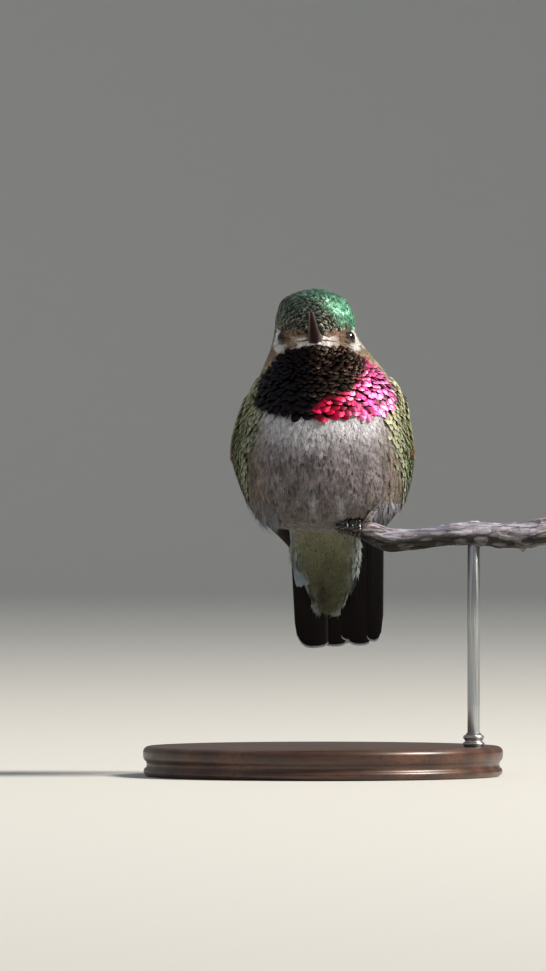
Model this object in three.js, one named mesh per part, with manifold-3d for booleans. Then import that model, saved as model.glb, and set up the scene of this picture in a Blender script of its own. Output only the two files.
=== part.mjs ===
// A male broad-tailed hummingbird, fluffed up and perched on the end of a dead twig, on a display stand.
// Millimetres. +Z is up, the bird looks along -Y and +X is its left side. The origin is the centre of
// the stand's underside. The body is one lofted form, parted with thin cuts where its parts have names.
import * as THREE from "three";
import { mergeVertices } from "three/addons/utils/BufferGeometryUtils.js";
import Module from "manifold-3d";

const wasm = await Module();
wasm.setup();

// ---------- driving dimensions ----------
const GAP = 0.3; // clearance between neighbouring solids
const BODY_SIDES = 28; // facets round the body
const BODY_RINGS = 26; // rings from crown to vent

// Level rings of the outline, crown to vent: height, centre, half width, half depth.
const CROWN_TOP = { z: 97.4, cx: -1.7, cy: -0.8, hx: 0, hy: 0 };
const VENT_LOW = { z: 48.6, cx: -0.4, cy: 4.5, hx: 0, hy: 0 };
const RINGS = {
  crown: { z: 95.6, cx: -1.8, cy: -0.9, hx: 5.8, hy: 5.5 },
  brow: { z: 92.2, cx: -1.6, cy: -0.9, hx: 7.7, hy: 7.9 },
  eye: { z: 88.4, cx: -1.5, cy: -0.8, hx: 8.2, hy: 8.7 },
  chin: { z: 85.0, cx: -0.9, cy: -0.9, hx: 9.7, hy: 9.3 },
  throat: { z: 81.2, cx: -0.1, cy: -0.8, hx: 12.1, hy: 11.0 },
  collar: { z: 76.6, cx: 0.5, cy: -0.4, hx: 14.4, hy: 13.3 },
  breast: { z: 71.0, cx: 0.0, cy: 0.1, hx: 15.9, hy: 15.3 },
  belly: { z: 64.5, cx: -0.1, cy: 0.7, hx: 17.1, hy: 16.4 },
  flank: { z: 58.5, cx: 0.4, cy: 1.5, hx: 16.4, hy: 16.3 },
  thigh: { z: 53.4, cx: 0.5, cy: 2.6, hx: 14.9, hy: 14.6 },
  vent: { z: 50.1, cx: -0.3, cy: 3.8, hx: 10.6, hy: 10.6 },
};

// Bill: where it leaves the face, where it points, and its size.
const BILL_BASE = new THREE.Vector3(-1.7, -10.2, 87.0);
const BILL_WAY = new THREE.Vector3(-0.045, -0.94, 0.33).normalize();
const BILL_LENGTH = 17.5;
const BILL_ROOT = 1.5; // length hidden in the face
const BILL_HALF_WIDTH = { root: 1.65, middle: 0.92, tip: 0.42 };
const BILL_HALF_HEIGHT = { root: 1.15, middle: 0.8, tip: 0.42 };
const BILL_SEAM = 0.12; // gap between the two halves
const FACE_PULL = 1.9; // how far the face runs out along the bill
const FACE_SPREAD = 2.7;

const EYE_RADIUS = 1.75;
const EYE_ANGLE = 53; // degrees round the head from straight ahead
const EYE_HEIGHT = 87.4;
const EYE_DEPTH = 1.0; // how deep the ball's centre lies under the coat

// The planes that part the body: a point on each, and its slope up towards the back.
const HEAD_CUT = { y: -10, z: 85.1, slope: -0.12 };
const NECK_CUT = { y: -14, z: 72.4, slope: 0.3 };
const BELLY_CUT = { y: -15, z: 62.5, slope: 0.05 };
const RUMP_CUT = { y: 17, z: 60.5, slope: -0.2 };
const SIDE_CUT_Y = 2.0; // front and back parts meet here

// Twig stations along its length: x, height, radius. It runs to the bird's left.
const TWIG = [
  { x: 2.2, z: 49.9, r: 1.0 },
  { x: 4.0, z: 49.9, r: 1.4 },
  { x: 7.4, z: 49.3, r: 1.95 },
  { x: 10.4, z: 48.1, r: 2.45 },
  { x: 13.5, z: 47.2, r: 2.4 },
  { x: 17.5, z: 47.4, r: 2.2 },
  { x: 22.0, z: 47.9, r: 2.15 },
  { x: 27.0, z: 48.4, r: 2.25 },
  { x: 32.0, z: 48.4, r: 2.4 },
  { x: 37.0, z: 48.2, r: 2.5 },
  { x: 41.0, z: 48.3, r: 2.65 },
  { x: 45.0, z: 49.1, r: 2.6 },
  { x: 50.0, z: 49.9, r: 2.4 },
];
const TWIG_Y = -6.2;
const TWIG_SWAY = 0.7;
const TWIG_SIDES = 9;
const TWIG_STEPS = 24;
const TWIG_RIDGE = 0.07; // depth of the bark's ridges, as a share of the radius
const STUB = { from: [8.2, TWIG_Y, 50.0], to: [10.6, TWIG_Y - 3.1, 54.0], r0: 0.85, r1: 0.45 };
const SPUR = { from: [39.0, TWIG_Y, 46.8], to: [40.0, TWIG_Y - 0.5, 45.0], r0: 0.8, r1: 0.3 };

// Feet: where each grips the twig, and the toes.
const FOOT_X = { right: 3.85, left: 6.35 };
const TOE_RADIUS = 0.36;
const CLAW_RADIUS = 0.14;
const TOE_SPACING = 0.6;
const PAD_RADIUS = 0.62;
const PAD_RISE = 0.3; // how far the pad stands over the toes
const FOOT_ROOM_WIDTH = 3.1;
const TARSUS_RADIUS = 0.45;
const TARSUS_RISE = 5.0;

// Tail: feathers side by side on a plane that leans back. Each end runs between two x places, with its
// lowest height and how far it rounds up towards each of its own edges.
const TAIL_ROOT = { x: 2.4, y: 12.2, z: 50.5 };
const TAIL_LEAN = 0.468; // how far it goes back for each millimetre down
const TAIL_THICK = 0.6;
const TAIL_STEP = 0.3; // how far each feather's edge stands over the next
const TAIL_NARROWING = { right: 1.14, left: 1.0 }; // a half's width at its root over that at its tips
const TAIL_ENDS = {
  right: [
    { from: -5.6, to: 1.2, z: 25.2, rise: [5.0, 0.9] },
    { from: 1.2, to: 3.5, z: 25.5, rise: [0.5, 0.1] },
  ],
  left: [
    { from: 3.9, to: 5.6, z: 25.6, rise: [0.1, 1.4] },
    { from: 5.6, to: 9.6, z: 25.7, rise: [1.3, 0.7] },
    { from: 9.6, to: 12.3, z: 26.5, rise: [0.2, 5.0] },
  ],
};

// Covert tongues under and over the tail: height, centre, half width, half thickness.
const UNDER_COVERTS = [
  { z: 50.6, cx: 0.0, cy: 6.6, hx: 7.2, hy: 3.9 },
  { z: 47.0, cx: 0.5, cy: 10.1, hx: 6.8, hy: 4.0 },
  { z: 43.0, cx: 0.7, cy: 12.8, hx: 6.7, hy: 3.2 },
  { z: 39.0, cx: 1.3, cy: 15.4, hx: 5.3, hy: 2.3 },
  { z: 36.0, cx: 1.3, cy: 17.1, hx: 4.0, hy: 1.4 },
  { z: 33.0, cx: 1.1, cy: 18.9, hx: 2.7, hy: 0.9 },
  { z: 31.3, cx: 0.9, cy: 20.0, hx: 1.3, hy: 0.5 },
];
const OVER_COVERTS = [
  { z: 53.5, cx: 0.8, cy: 13.2, hx: 8.4, hy: 3.9 },
  { z: 50.0, cx: 1.4, cy: 14.6, hx: 8.2, hy: 2.9 },
  { z: 46.0, cx: 2.0, cy: 16.1, hx: 7.4, hy: 1.9 },
  { z: 42.0, cx: 2.4, cy: 17.8, hx: 5.8, hy: 1.2 },
  { z: 39.0, cx: 2.6, cy: 19.1, hx: 3.2, hy: 0.6 },
];

// Folded wing: the front and rear edges as degrees round the body, at each height.
const WING_EDGES = [
  { z: 78.5, front: 84, rear: 112 },
  { z: 74.0, front: 84, rear: 126 },
  { z: 68.0, front: 88, rear: 138 },
  { z: 62.0, front: 94, rear: 146 },
  { z: 56.0, front: 105, rear: 153 },
  { z: 51.0, front: 121, rear: 160 },
  { z: 46.0, front: 141, rear: 168 },
  { z: 40.0, front: 154, rear: 173 },
  { z: 33.5, front: 163, rear: 169 },
];
const WING_JOIN_Z = 56; // below this the wing leaves the body
const WING_TIP_RING = { z: 33.5, cx: 1.8, cy: 13.4, hx: 7.0, hy: 10.2 };
const WING_LIFT = 0.45; // clearance between body and wing
const PRIMARIES = { count: 6, lowTip: 33.0, highTip: 50.0, stagger: 1.25 };
const SECONDARIES = { count: 3, lowTip: 54.5, highTip: 59.0 };
const PRIMARY_SHARE = 0.6; // share of the wing's width that the long feathers take, above their split
const SPLIT = { low: 50, high: 60, gap: 0.03 }; // heights between which they widen to the whole width
const ROOT_GAP = 0.4; // between the shoulder's lower edge and the flight feathers
const BLADE_THICK = 0.6;
const BLADE_STEP = 0.3; // how far each feather's edge stands over the next
const BLADE_ROUND = 0.7; // how far each tip reaches past its corners
const SHOULDER_THICK = { edge: 0.9, middle: 1.5 };
const SHOULDER_TOP = { z: 77, drop: 5 }; // height of its top, and how far that drops towards the edges
const SHOULDER_LOW = { z: 62.5, rise: 3.5 };

const BASE_RADIUS = 36;
const BASE_HEIGHT = 6;
const BASE_BEVEL = 1.2;
const ROD_X = 30;
const ROD_RADIUS = 1.25;
const ROD_FOOT_Z = 2.3;
const ROD_TOP_Z = 47.2;
const FERRULE_RADIUS = 2.2;
const FERRULE_HEIGHT = 2.6;

const deg = THREE.MathUtils.degToRad;
const mix = THREE.MathUtils.lerp;

// ---------- finishes ----------
const finish = (color, roughness, metalness = 0) =>
  new THREE.MeshStandardMaterial({ color, roughness, metalness });
const FINISH = {
  crown: finish(0x1f7a4f, 0.45, 0.3),
  gorget: finish(0xb5144d, 0.35, 0.4),
  bronzeGreen: finish(0x5e7448, 0.5, 0.2),
  white: finish(0xd9d6d6, 0.85),
  grey: finish(0x9a9089, 0.85),
  flight: finish(0x2c2624, 0.5),
  tail: finish(0x141214, 0.45),
  horn: finish(0x1c1416, 0.35),
  eye: finish(0x0a0808, 0.05),
  bark: finish(0xa39a98, 0.9),
  wood: finish(0x4a2f20, 0.45),
  steel: finish(0xb8babd, 0.3, 1),
};

// ---------- solids ----------
/** The manifold solid of a closed geometry, turned the right way out. */
function solidOf(geometry) {
  const bare = geometry.index ? geometry.toNonIndexed() : geometry.clone();
  const positions = new THREE.BufferGeometry().setAttribute("position", bare.getAttribute("position"));
  const merged = mergeVertices(positions, 1e-4);
  const kept = [];
  const index = merged.index.array;
  for (let i = 0; i < index.length; i += 3) {
    const [a, b, c] = index.slice(i, i + 3);
    if (a !== b && b !== c && a !== c) kept.push(a, b, c);
  }
  const build = (tris) =>
    new wasm.Manifold(
      new wasm.Mesh({
        numProp: 3,
        vertProperties: merged.attributes.position.array,
        triVerts: new Uint32Array(tris),
      }),
    );
  const solid = build(kept);
  if (solid.volume() > 0) return solid;
  for (let i = 0; i < kept.length; i += 3) [kept[i + 1], kept[i + 2]] = [kept[i + 2], kept[i + 1]];
  return build(kept);
}

/** The three.js geometry of a manifold solid. */
function geometryOf(solid) {
  const mesh = solid.getMesh();
  const geometry = new THREE.BufferGeometry();
  geometry.setAttribute("position", new THREE.BufferAttribute(mesh.vertProperties, mesh.numProp));
  geometry.setIndex(new THREE.BufferAttribute(mesh.triVerts, 1));
  geometry.computeVertexNormals();
  return geometry;
}

/** A closed geometry through a stack of rings of points, with a point that closes each end. */
function loft(rings, first, last) {
  const n = rings[0].length;
  const points = [...rings.flat(), first, last];
  const index = [];
  for (let j = 0; j < n; j++) {
    const k = (j + 1) % n;
    for (let i = 0; i + 1 < rings.length; i++) {
      index.push(i * n + j, (i + 1) * n + j, i * n + k);
      index.push(i * n + k, (i + 1) * n + j, (i + 1) * n + k);
    }
    index.push(points.length - 2, j, k);
    index.push(points.length - 1, (rings.length - 1) * n + k, (rings.length - 1) * n + j);
  }
  return new THREE.BufferGeometry().setFromPoints(points).setIndex(index);
}

const centroid = (ring) =>
  ring.reduce((sum, p) => sum.add(p), new THREE.Vector3()).divideScalar(ring.length);

const loftSolid = (rings) => solidOf(loft(rings, centroid(rings[0]), centroid(rings.at(-1))));

/** A closed solid between an outer and an inner grid of points, walled all round its edge. */
function slab(outer, inner) {
  const [rows, columns] = [outer.length, outer[0].length];
  const size = rows * columns;
  const at = (i, j) => i * columns + j;
  const index = [];
  const quad = (a, b, c, d) => index.push(a, b, c, a, c, d);
  for (let i = 0; i + 1 < rows; i++) {
    for (let j = 0; j + 1 < columns; j++) {
      quad(at(i, j), at(i + 1, j), at(i + 1, j + 1), at(i, j + 1));
      quad(size + at(i, j), size + at(i, j + 1), size + at(i + 1, j + 1), size + at(i + 1, j));
    }
  }
  const run = (count, place) => Array.from({ length: count - 1 }, (_, k) => place(k));
  const edge = [
    ...run(rows, (k) => at(k, 0)),
    ...run(columns, (k) => at(rows - 1, k)),
    ...run(rows, (k) => at(rows - 1 - k, columns - 1)),
    ...run(columns, (k) => at(0, columns - 1 - k)),
  ];
  edge.forEach((a, k) => {
    const b = edge[(k + 1) % edge.length];
    quad(b, a, size + a, size + b);
  });
  return solidOf(
    new THREE.BufferGeometry().setFromPoints([...outer.flat(), ...inner.flat()]).setIndex(index),
  );
}

/** One body made of several solids. */
const joined = (solids) => solids.reduce((a, b) => a.add(b));

const without = (solid, ...cutters) => cutters.reduce((a, b) => a.subtract(b), solid);

/** The largest body of a solid, where a cut has left crumbs. */
const largest = (solid) => solid.decompose().reduce((a, b) => (a.volume() > b.volume() ? a : b));

/** Catmull-Rom value of every key of a list of stations at position u, from 0 to list length - 1. */
function alongStations(list, u) {
  const i = Math.min(Math.floor(u), list.length - 2);
  const f = u - i;
  const [p0, p1, p2, p3] = [-1, 0, 1, 2].map(
    (k) => list[THREE.MathUtils.clamp(i + k, 0, list.length - 1)],
  );
  const blend = (a, b, c, d) =>
    0.5 * (2 * b + (c - a) * f + (2 * a - 5 * b + 4 * c - d) * f * f + (3 * b - a - 3 * c + d) * f ** 3);
  return Object.fromEntries(Object.keys(p1).map((key) => [key, blend(p0[key], p1[key], p2[key], p3[key])]));
}

/** Values of a list of stations at height z, where the list runs downwards. */
function atHeight(list, z) {
  let [low, high] = [0, list.length - 1];
  for (let k = 0; k < 30; k++) {
    const middle = (low + high) / 2;
    if (alongStations(list, middle).z > z) low = middle;
    else high = middle;
  }
  return alongStations(list, low);
}

// ---------- the body's outline ----------
// A ring mirrored through each pole makes the form round there.
const through = (ring) => ({ ...ring, hx: -ring.hx, hy: -ring.hy });
const BODY = [
  through(RINGS.crown),
  CROWN_TOP,
  ...Object.values(RINGS),
  VENT_LOW,
  through(RINGS.vent),
];
const BODY_SPAN = BODY.length - 3;

/** A point of a ring at an angle from straight ahead, the bird's left side being positive. */
const onRing = (ring, angle, lift = 0) =>
  new THREE.Vector3(
    ring.cx + (ring.hx + lift) * Math.sin(angle),
    ring.cy - (ring.hy + lift) * Math.cos(angle),
    ring.z,
  );

/** How far the face runs out along the bill at a point of the front of the head. */
function facePull(p, angle) {
  const dx = (p.x - BILL_BASE.x) / FACE_SPREAD;
  const dz = (p.z - BILL_BASE.z) / FACE_SPREAD;
  return FACE_PULL * Math.exp(-dx * dx - dz * dz) * Math.max(0, Math.cos(angle));
}

function bodyPoint(t, angle) {
  const p = onRing(alongStations(BODY, 1 + t * BODY_SPAN), angle);
  p.y -= facePull(p, angle);
  return p;
}

/** The body grown outwards by lift. */
function bodySolid(lift = 0) {
  const step = 1e-3;
  const grown = (t, angle) => {
    const p = bodyPoint(t, angle);
    const down = bodyPoint(Math.min(t + step, 1), angle).sub(bodyPoint(t - step, angle));
    const round = bodyPoint(t, angle + step).sub(bodyPoint(t, angle - step));
    return p.add(down.cross(round).normalize().multiplyScalar(lift));
  };
  const rings = Array.from({ length: BODY_RINGS - 1 }, (_, i) =>
    Array.from({ length: BODY_SIDES }, (_, j) =>
      grown((i + 1) / BODY_RINGS, (2 * Math.PI * j) / BODY_SIDES),
    ),
  );
  const top = new THREE.Vector3(CROWN_TOP.cx, CROWN_TOP.cy, CROWN_TOP.z + lift);
  const low = new THREE.Vector3(VENT_LOW.cx, VENT_LOW.cy, VENT_LOW.z - lift);
  return solidOf(loft(rings, top, low));
}

// ---------- thin cuts ----------
/** The part of a solid above (side 1) or below (side -1) a sloping plane, less half the gap. */
function cutAcross(solid, cut, side) {
  const normal = new THREE.Vector3(0, -cut.slope, 1).normalize();
  const height = normal.dot(new THREE.Vector3(0, cut.y, cut.z));
  return solid.trimByPlane(normal.clone().multiplyScalar(side).toArray(), side * height + GAP / 2);
}

/** The part of a solid in front of (side -1) or behind (side 1) the line along the flanks. */
const cutAlong = (solid, side) => solid.trimByPlane([0, side, 0], side * SIDE_CUT_Y + GAP / 2);

// ---------- bill and eyes ----------
const billFrame = () => {
  const side = new THREE.Vector3(0, 0, 1).cross(BILL_WAY).normalize();
  return { side, up: BILL_WAY.clone().cross(side) };
};

/** The whole bill, grown by lift: round in section, and tapering in two stages. */
function billSolid(lift = 0) {
  const { side, up } = billFrame();
  const sides = 12;
  const steps = 8;
  const taper = (size, s) =>
    s < 0.5 ? mix(size.root, size.middle, s * 2) : mix(size.middle, size.tip, s * 2 - 1);
  const rings = Array.from({ length: steps + 1 }, (_, i) => {
    const s = i / steps;
    const middle = BILL_BASE.clone().addScaledVector(BILL_WAY, mix(-BILL_ROOT, BILL_LENGTH - 0.3, s));
    return Array.from({ length: sides }, (_, j) => {
      const a = (2 * Math.PI * (j + 0.5)) / sides;
      return middle
        .clone()
        .addScaledVector(side, (taper(BILL_HALF_WIDTH, s) + lift) * Math.cos(a))
        .addScaledVector(up, (taper(BILL_HALF_HEIGHT, s) + lift) * Math.sin(a));
    });
  });
  const tip = BILL_BASE.clone().addScaledVector(BILL_WAY, BILL_LENGTH + lift);
  return solidOf(loft(rings, centroid(rings[0]), tip));
}

/** The upper (side 1) or lower (side -1) half of the bill. */
function billHalf(side) {
  const { up } = billFrame();
  const normal = up.multiplyScalar(side);
  return billSolid().trimByPlane(normal.toArray(), normal.dot(BILL_BASE) + BILL_SEAM / 2);
}

function eyeCentre(side) {
  const ring = atHeight(BODY.slice(1), EYE_HEIGHT);
  return onRing(ring, side * deg(EYE_ANGLE), -EYE_DEPTH);
}

const eyeGeometry = (lift = 0) => new THREE.SphereGeometry(EYE_RADIUS + lift, 12, 8);

const eyeSolid = (side, lift) => solidOf(eyeGeometry(lift).translate(...eyeCentre(side).toArray()));

// ---------- wings ----------
/** The ring that the folded wing lies on at height z: the body's own, then one that closes on the tail. */
function wingRing(z) {
  const body = atHeight(BODY.slice(1), Math.max(z, WING_JOIN_Z));
  const f = THREE.MathUtils.clamp((WING_JOIN_Z - z) / (WING_JOIN_Z - WING_TIP_RING.z), 0, 1);
  return Object.fromEntries(
    Object.keys(body).map((key) => [key, key === "z" ? z : mix(body[key], WING_TIP_RING[key], f)]),
  );
}

/** A point of the wing at height z, from share 0 at its front edge to 1 at its rear, lifted off the body. */
function wingPoint(side, z, share, lift) {
  const edges = atHeight(WING_EDGES, z);
  return onRing(wingRing(z), side * deg(mix(edges.front, edges.rear, share)), lift);
}

/** Share of the wing's width, from its front edge, that the long feathers take at height z. */
const splitShare = (z) => mix(1, PRIMARY_SHARE, THREE.MathUtils.smoothstep(z, SPLIT.low, SPLIT.high));

/** Height of the shoulder's lower edge, where the flight feathers come out. */
const shoulderLow = (share) => SHOULDER_LOW.z + SHOULDER_LOW.rise * (2 * share - 1) ** 2;

/**
 * Feathers side by side as one thin body. shareAt(u, z) places share u of the panel's width at height z,
 * and tipAt(u) is where it ends. Each feather's face slopes like a roof tile, and its tip is rounded.
 */
function featherPanel(side, { count }, steps, shareAt, tipAt, lift) {
  const [outer, inner] = [[], []];
  for (let i = 0; i < count; i++) {
    for (const w of [0.04, 0.5, 0.96]) {
      const u = (i + w) / count;
      const top = shoulderLow(shareAt(u, SHOULDER_LOW.z)) - ROOT_GAP;
      const tip = tipAt(u) - BLADE_ROUND * (1 - (2 * w - 1) ** 2);
      const row = (height) =>
        Array.from({ length: steps + 1 }, (_, k) => {
          const z = mix(top, tip, k / steps);
          return wingPoint(side, z, shareAt(u, z), height);
        });
      outer.push(row(lift + BLADE_THICK + BLADE_STEP * (1 - w)));
      inner.push(row(lift));
    }
  }
  return slab(outer, inner);
}

/** The long outer feathers, the longest at the front edge, with their tips down the rear edge. */
function primaries(side) {
  const { lowTip, highTip, stagger } = PRIMARIES;
  const tipAt = (u) => mix(lowTip, highTip, u ** stagger);
  const down = (z) => THREE.MathUtils.clamp((z - lowTip) / (highTip - lowTip), 0.04, 1);
  const shareAt = (u, z) => Math.min((splitShare(z) * u) / down(z) ** (1 / stagger), 1.05);
  return featherPanel(side, PRIMARIES, 7, shareAt, tipAt, WING_LIFT);
}

/** The short inner feathers, behind the long ones. */
function secondaries(side) {
  const tipAt = (u) => mix(SECONDARIES.lowTip, SECONDARIES.highTip, u);
  const shareAt = (u, z) => mix(splitShare(z) + SPLIT.gap, 1, u);
  return featherPanel(side, SECONDARIES, 4, shareAt, tipAt, WING_LIFT + BLADE_STEP / 2);
}

/** The padded shoulder: a domed shell that the flight feathers come out from. */
function shoulder(side) {
  const [rows, steps] = [7, 6];
  const [outer, inner] = [[], []];
  for (let i = 0; i < rows; i++) {
    const share = i / (rows - 1);
    const top = SHOULDER_TOP.z - SHOULDER_TOP.drop * Math.abs(2 * share - 1) ** 2.5;
    const row = (heightAt) =>
      Array.from({ length: steps + 1 }, (_, k) =>
        wingPoint(side, mix(top, shoulderLow(share), k / steps), share, heightAt(k / steps)),
      );
    const dome = (v) => (Math.sin(Math.PI * share) * Math.sin(Math.PI * mix(0.1, 0.75, v))) ** 0.5;
    outer.push(row((v) => GAP + mix(SHOULDER_THICK.edge, SHOULDER_THICK.middle, dome(v))));
    inner.push(row(() => GAP));
  }
  return slab(outer, inner);
}

// ---------- tail ----------
/** How far back the middle of the tail's thickness lies at height z. */
const tailY = (z) => TAIL_ROOT.y + (TAIL_ROOT.z - z) * TAIL_LEAN;

/** One half of the tail as a thin body, with a rounded end for each feather that shows. */
function tailHalf(ends, narrowing) {
  const steps = 5;
  const [front, back] = [[], []];
  for (const { from, to, z, rise } of ends) {
    for (const w of [0.01, 0.09, 0.3, 0.6, 0.85, 0.99]) {
      const tipX = mix(from, to, w);
      const rootX = mix(TAIL_ROOT.x, tipX, narrowing);
      const tip = z + rise[w < 0.5 ? 0 : 1] * (1 - Math.sqrt(1 - Math.abs(2 * w - 1) ** 2.2));
      const row = (depth) =>
        Array.from({ length: steps + 1 }, (_, k) => {
          const height = mix(TAIL_ROOT.z, tip, k / steps);
          return new THREE.Vector3(mix(rootX, tipX, k / steps), tailY(height) + depth, height);
        });
      front.push(row(-TAIL_THICK / 2 - TAIL_STEP * Math.abs(2 * w - 1)));
      back.push(row(TAIL_THICK / 2));
    }
  }
  return slab(back, front);
}

/** The part of a solid in front of (side -1) or behind (side 1) the tail. */
function besideTail(solid, side) {
  const normal = new THREE.Vector3(0, 1, TAIL_LEAN).normalize().multiplyScalar(side);
  const face = side > 0 ? TAIL_THICK / 2 : -TAIL_THICK / 2 - TAIL_STEP;
  const onFace = new THREE.Vector3(0, TAIL_ROOT.y + face, TAIL_ROOT.z);
  return solid.trimByPlane(normal.toArray(), normal.dot(onFace) + GAP);
}

/** A flattened tongue of coverts through its stations. */
function tongue(stations) {
  const steps = 9;
  const sides = 12;
  const rings = Array.from({ length: steps + 1 }, (_, i) => {
    const ring = alongStations(stations, (i / steps) * (stations.length - 1));
    return Array.from({ length: sides }, (_, j) => onRing(ring, (2 * Math.PI * j) / sides));
  });
  return loftSolid(rings);
}

// ---------- perch ----------
/** The twig's middle and radius at x, as a station of its own. */
function twigAt(x) {
  let [low, high] = [0, TWIG.length - 1];
  for (let k = 0; k < 30; k++) {
    const middle = (low + high) / 2;
    if (alongStations(TWIG, middle).x < x) low = middle;
    else high = middle;
  }
  const { z, r } = alongStations(TWIG, low);
  return { middle: new THREE.Vector3(x, TWIG_Y + TWIG_SWAY * Math.sin(x / 9), z), r };
}

/** A tapering round rod between two points. */
function taperRod(from, to, r0, r1, sides = 8) {
  const [a, b] = [new THREE.Vector3(...from), new THREE.Vector3(...to)];
  const geometry = new THREE.CylinderGeometry(r1, r0, a.distanceTo(b), sides);
  const turn = new THREE.Quaternion().setFromUnitVectors(
    new THREE.Vector3(0, 1, 0),
    b.clone().sub(a).normalize(),
  );
  return solidOf(geometry.applyQuaternion(turn).translate(...a.add(b).multiplyScalar(0.5).toArray()));
}

/** The twig with its stub and spur, grown by lift. */
function twigSolid(lift = 0) {
  const [start, end] = [TWIG[0].x, TWIG.at(-1).x];
  const rings = Array.from({ length: TWIG_STEPS + 1 }, (_, i) => {
    const x = mix(start, end, i / TWIG_STEPS);
    const { middle, r } = twigAt(x);
    return Array.from({ length: TWIG_SIDES }, (_, j) => {
      const a = (2 * Math.PI * j) / TWIG_SIDES;
      const ridges = Math.sin(3 * a + x * 0.35) + 0.5 * Math.sin(5 * a - x * 0.8);
      const radius = r * (1 + TWIG_RIDGE * ridges) + lift;
      return new THREE.Vector3(x, middle.y - radius * Math.cos(a), middle.z + radius * Math.sin(a));
    });
  });
  const tips = [STUB, SPUR].map((tip) => taperRod(tip.from, tip.to, tip.r0 + lift, tip.r1 + lift));
  return joined([loftSolid(rings), ...tips]);
}

// ---------- legs and feet ----------
/** A round tube through points, with a radius at each, grown by lift. */
function tube(points, radii, lift = 0, sides = 5) {
  const last = points.length - 1;
  const rings = points.map((p, i) => {
    const ahead = points[Math.min(i + 1, last)].clone().sub(points[Math.max(i - 1, 0)]).normalize();
    const past = i === 0 ? -lift : i === last ? lift : 0;
    const across = ahead.clone().cross(new THREE.Vector3(1, 0, 0)).normalize();
    const up = across.clone().cross(ahead);
    return Array.from({ length: sides }, (_, j) => {
      const a = (2 * Math.PI * j) / sides;
      return p
        .clone()
        .addScaledVector(ahead, past)
        .addScaledVector(across, (radii[i] + lift) * Math.cos(a))
        .addScaledVector(up, (radii[i] + lift) * Math.sin(a));
    });
  });
  return loftSolid(rings);
}

/** One toe with its claw, bent round the twig from its top, by angles from straight ahead. */
function toe(x, splay, fromDeg, toDeg, lift) {
  const steps = 6;
  const points = [];
  const radii = [];
  for (let i = 0; i <= steps; i++) {
    const s = i / steps;
    const { middle, r } = twigAt(x + splay * s);
    const clawing = Math.max(0, (s - 0.7) / 0.3);
    const radius = mix(TOE_RADIUS, CLAW_RADIUS, clawing);
    const reach = r * (1 + TWIG_RIDGE * 1.5) + GAP + TOE_RADIUS;
    const a = deg(mix(fromDeg, toDeg, s));
    points.push(
      new THREE.Vector3(middle.x, middle.y - reach * Math.cos(a), middle.z + reach * Math.sin(a)),
    );
    radii.push(radius);
  }
  return tube(points, radii, lift);
}

const footTop = (x) => {
  const { middle, r } = twigAt(x);
  return middle.add(new THREE.Vector3(0, 0.1, r * (1 + TWIG_RIDGE * 1.5) + GAP + TOE_RADIUS));
};

/** Three toes over the front of the twig and one behind, with the pad they meet in. */
function footSolid(x, lift = 0) {
  const front = [-1, 0, 1].map((k) => toe(x + k * TOE_SPACING, k * 0.22, 95, -58 + 9 * k * k, lift));
  const hind = toe(x, 0, 80, 222, lift);
  const ball = new THREE.SphereGeometry(PAD_RADIUS + lift, 8, 6).scale(1.35, 1, 0.8);
  const pad = solidOf(ball.translate(...footTop(x).toArray()));
  return joined([...front, hind, pad]);
}

/** Room for a foot in the flesh: a short drum round the twig. */
function footRoom(x) {
  const { middle, r } = twigAt(x);
  const radius = r * (1 + TWIG_RIDGE * 1.5) + 2 * TOE_RADIUS + 2 * GAP + PAD_RISE;
  const drum = new THREE.CylinderGeometry(radius, radius, FOOT_ROOM_WIDTH, 14).rotateZ(Math.PI / 2);
  return solidOf(drum.translate(...middle.toArray()));
}

/** The bare shank, from just above the pad up into the belly. */
function shankSolid(x, lift = 0) {
  const foot = footTop(x).add(new THREE.Vector3(0, 0.1, 0.5 + GAP + 0.1));
  const knee = foot.clone().add(new THREE.Vector3(-0.2, 2.4, TARSUS_RISE));
  return tube([foot, knee], [TARSUS_RADIUS, TARSUS_RADIUS * 1.15], lift, 8);
}

// ---------- stand ----------
function baseSolid() {
  const profile = [
    [0, 0],
    [BASE_RADIUS, 0],
    [BASE_RADIUS, BASE_HEIGHT - BASE_BEVEL],
    [BASE_RADIUS - BASE_BEVEL, BASE_HEIGHT],
    [0, BASE_HEIGHT],
  ].map(([r, y]) => new THREE.Vector2(r, y));
  return solidOf(new THREE.LatheGeometry(profile, 40).rotateX(Math.PI / 2));
}

function rodSolid(lift = 0) {
  const height = ROD_TOP_Z - ROD_FOOT_Z + 2 * lift;
  const radius = ROD_RADIUS + lift;
  const rod = new THREE.CylinderGeometry(radius, radius, height, 16).rotateX(Math.PI / 2);
  const at = twigAt(ROD_X).middle;
  return solidOf(rod.translate(at.x, at.y, (ROD_TOP_Z + ROD_FOOT_Z) / 2));
}

/** The turned ring where the rod leaves the base. */
function ferruleSolid() {
  const profile = [
    [ROD_RADIUS + GAP, 0],
    [FERRULE_RADIUS, 0],
    [FERRULE_RADIUS, FERRULE_HEIGHT - 0.6],
    [FERRULE_RADIUS - 0.5, FERRULE_HEIGHT],
    [ROD_RADIUS + GAP, FERRULE_HEIGHT],
    [ROD_RADIUS + GAP, 0],
  ].map(([r, y]) => new THREE.Vector2(r, y));
  const at = twigAt(ROD_X).middle;
  const ring = new THREE.LatheGeometry(profile, 16).rotateX(Math.PI / 2);
  return solidOf(ring.translate(at.x, at.y, BASE_HEIGHT + GAP));
}

// ---------- the model ----------
const SIDES = { left: 1, right: -1 };

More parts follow.
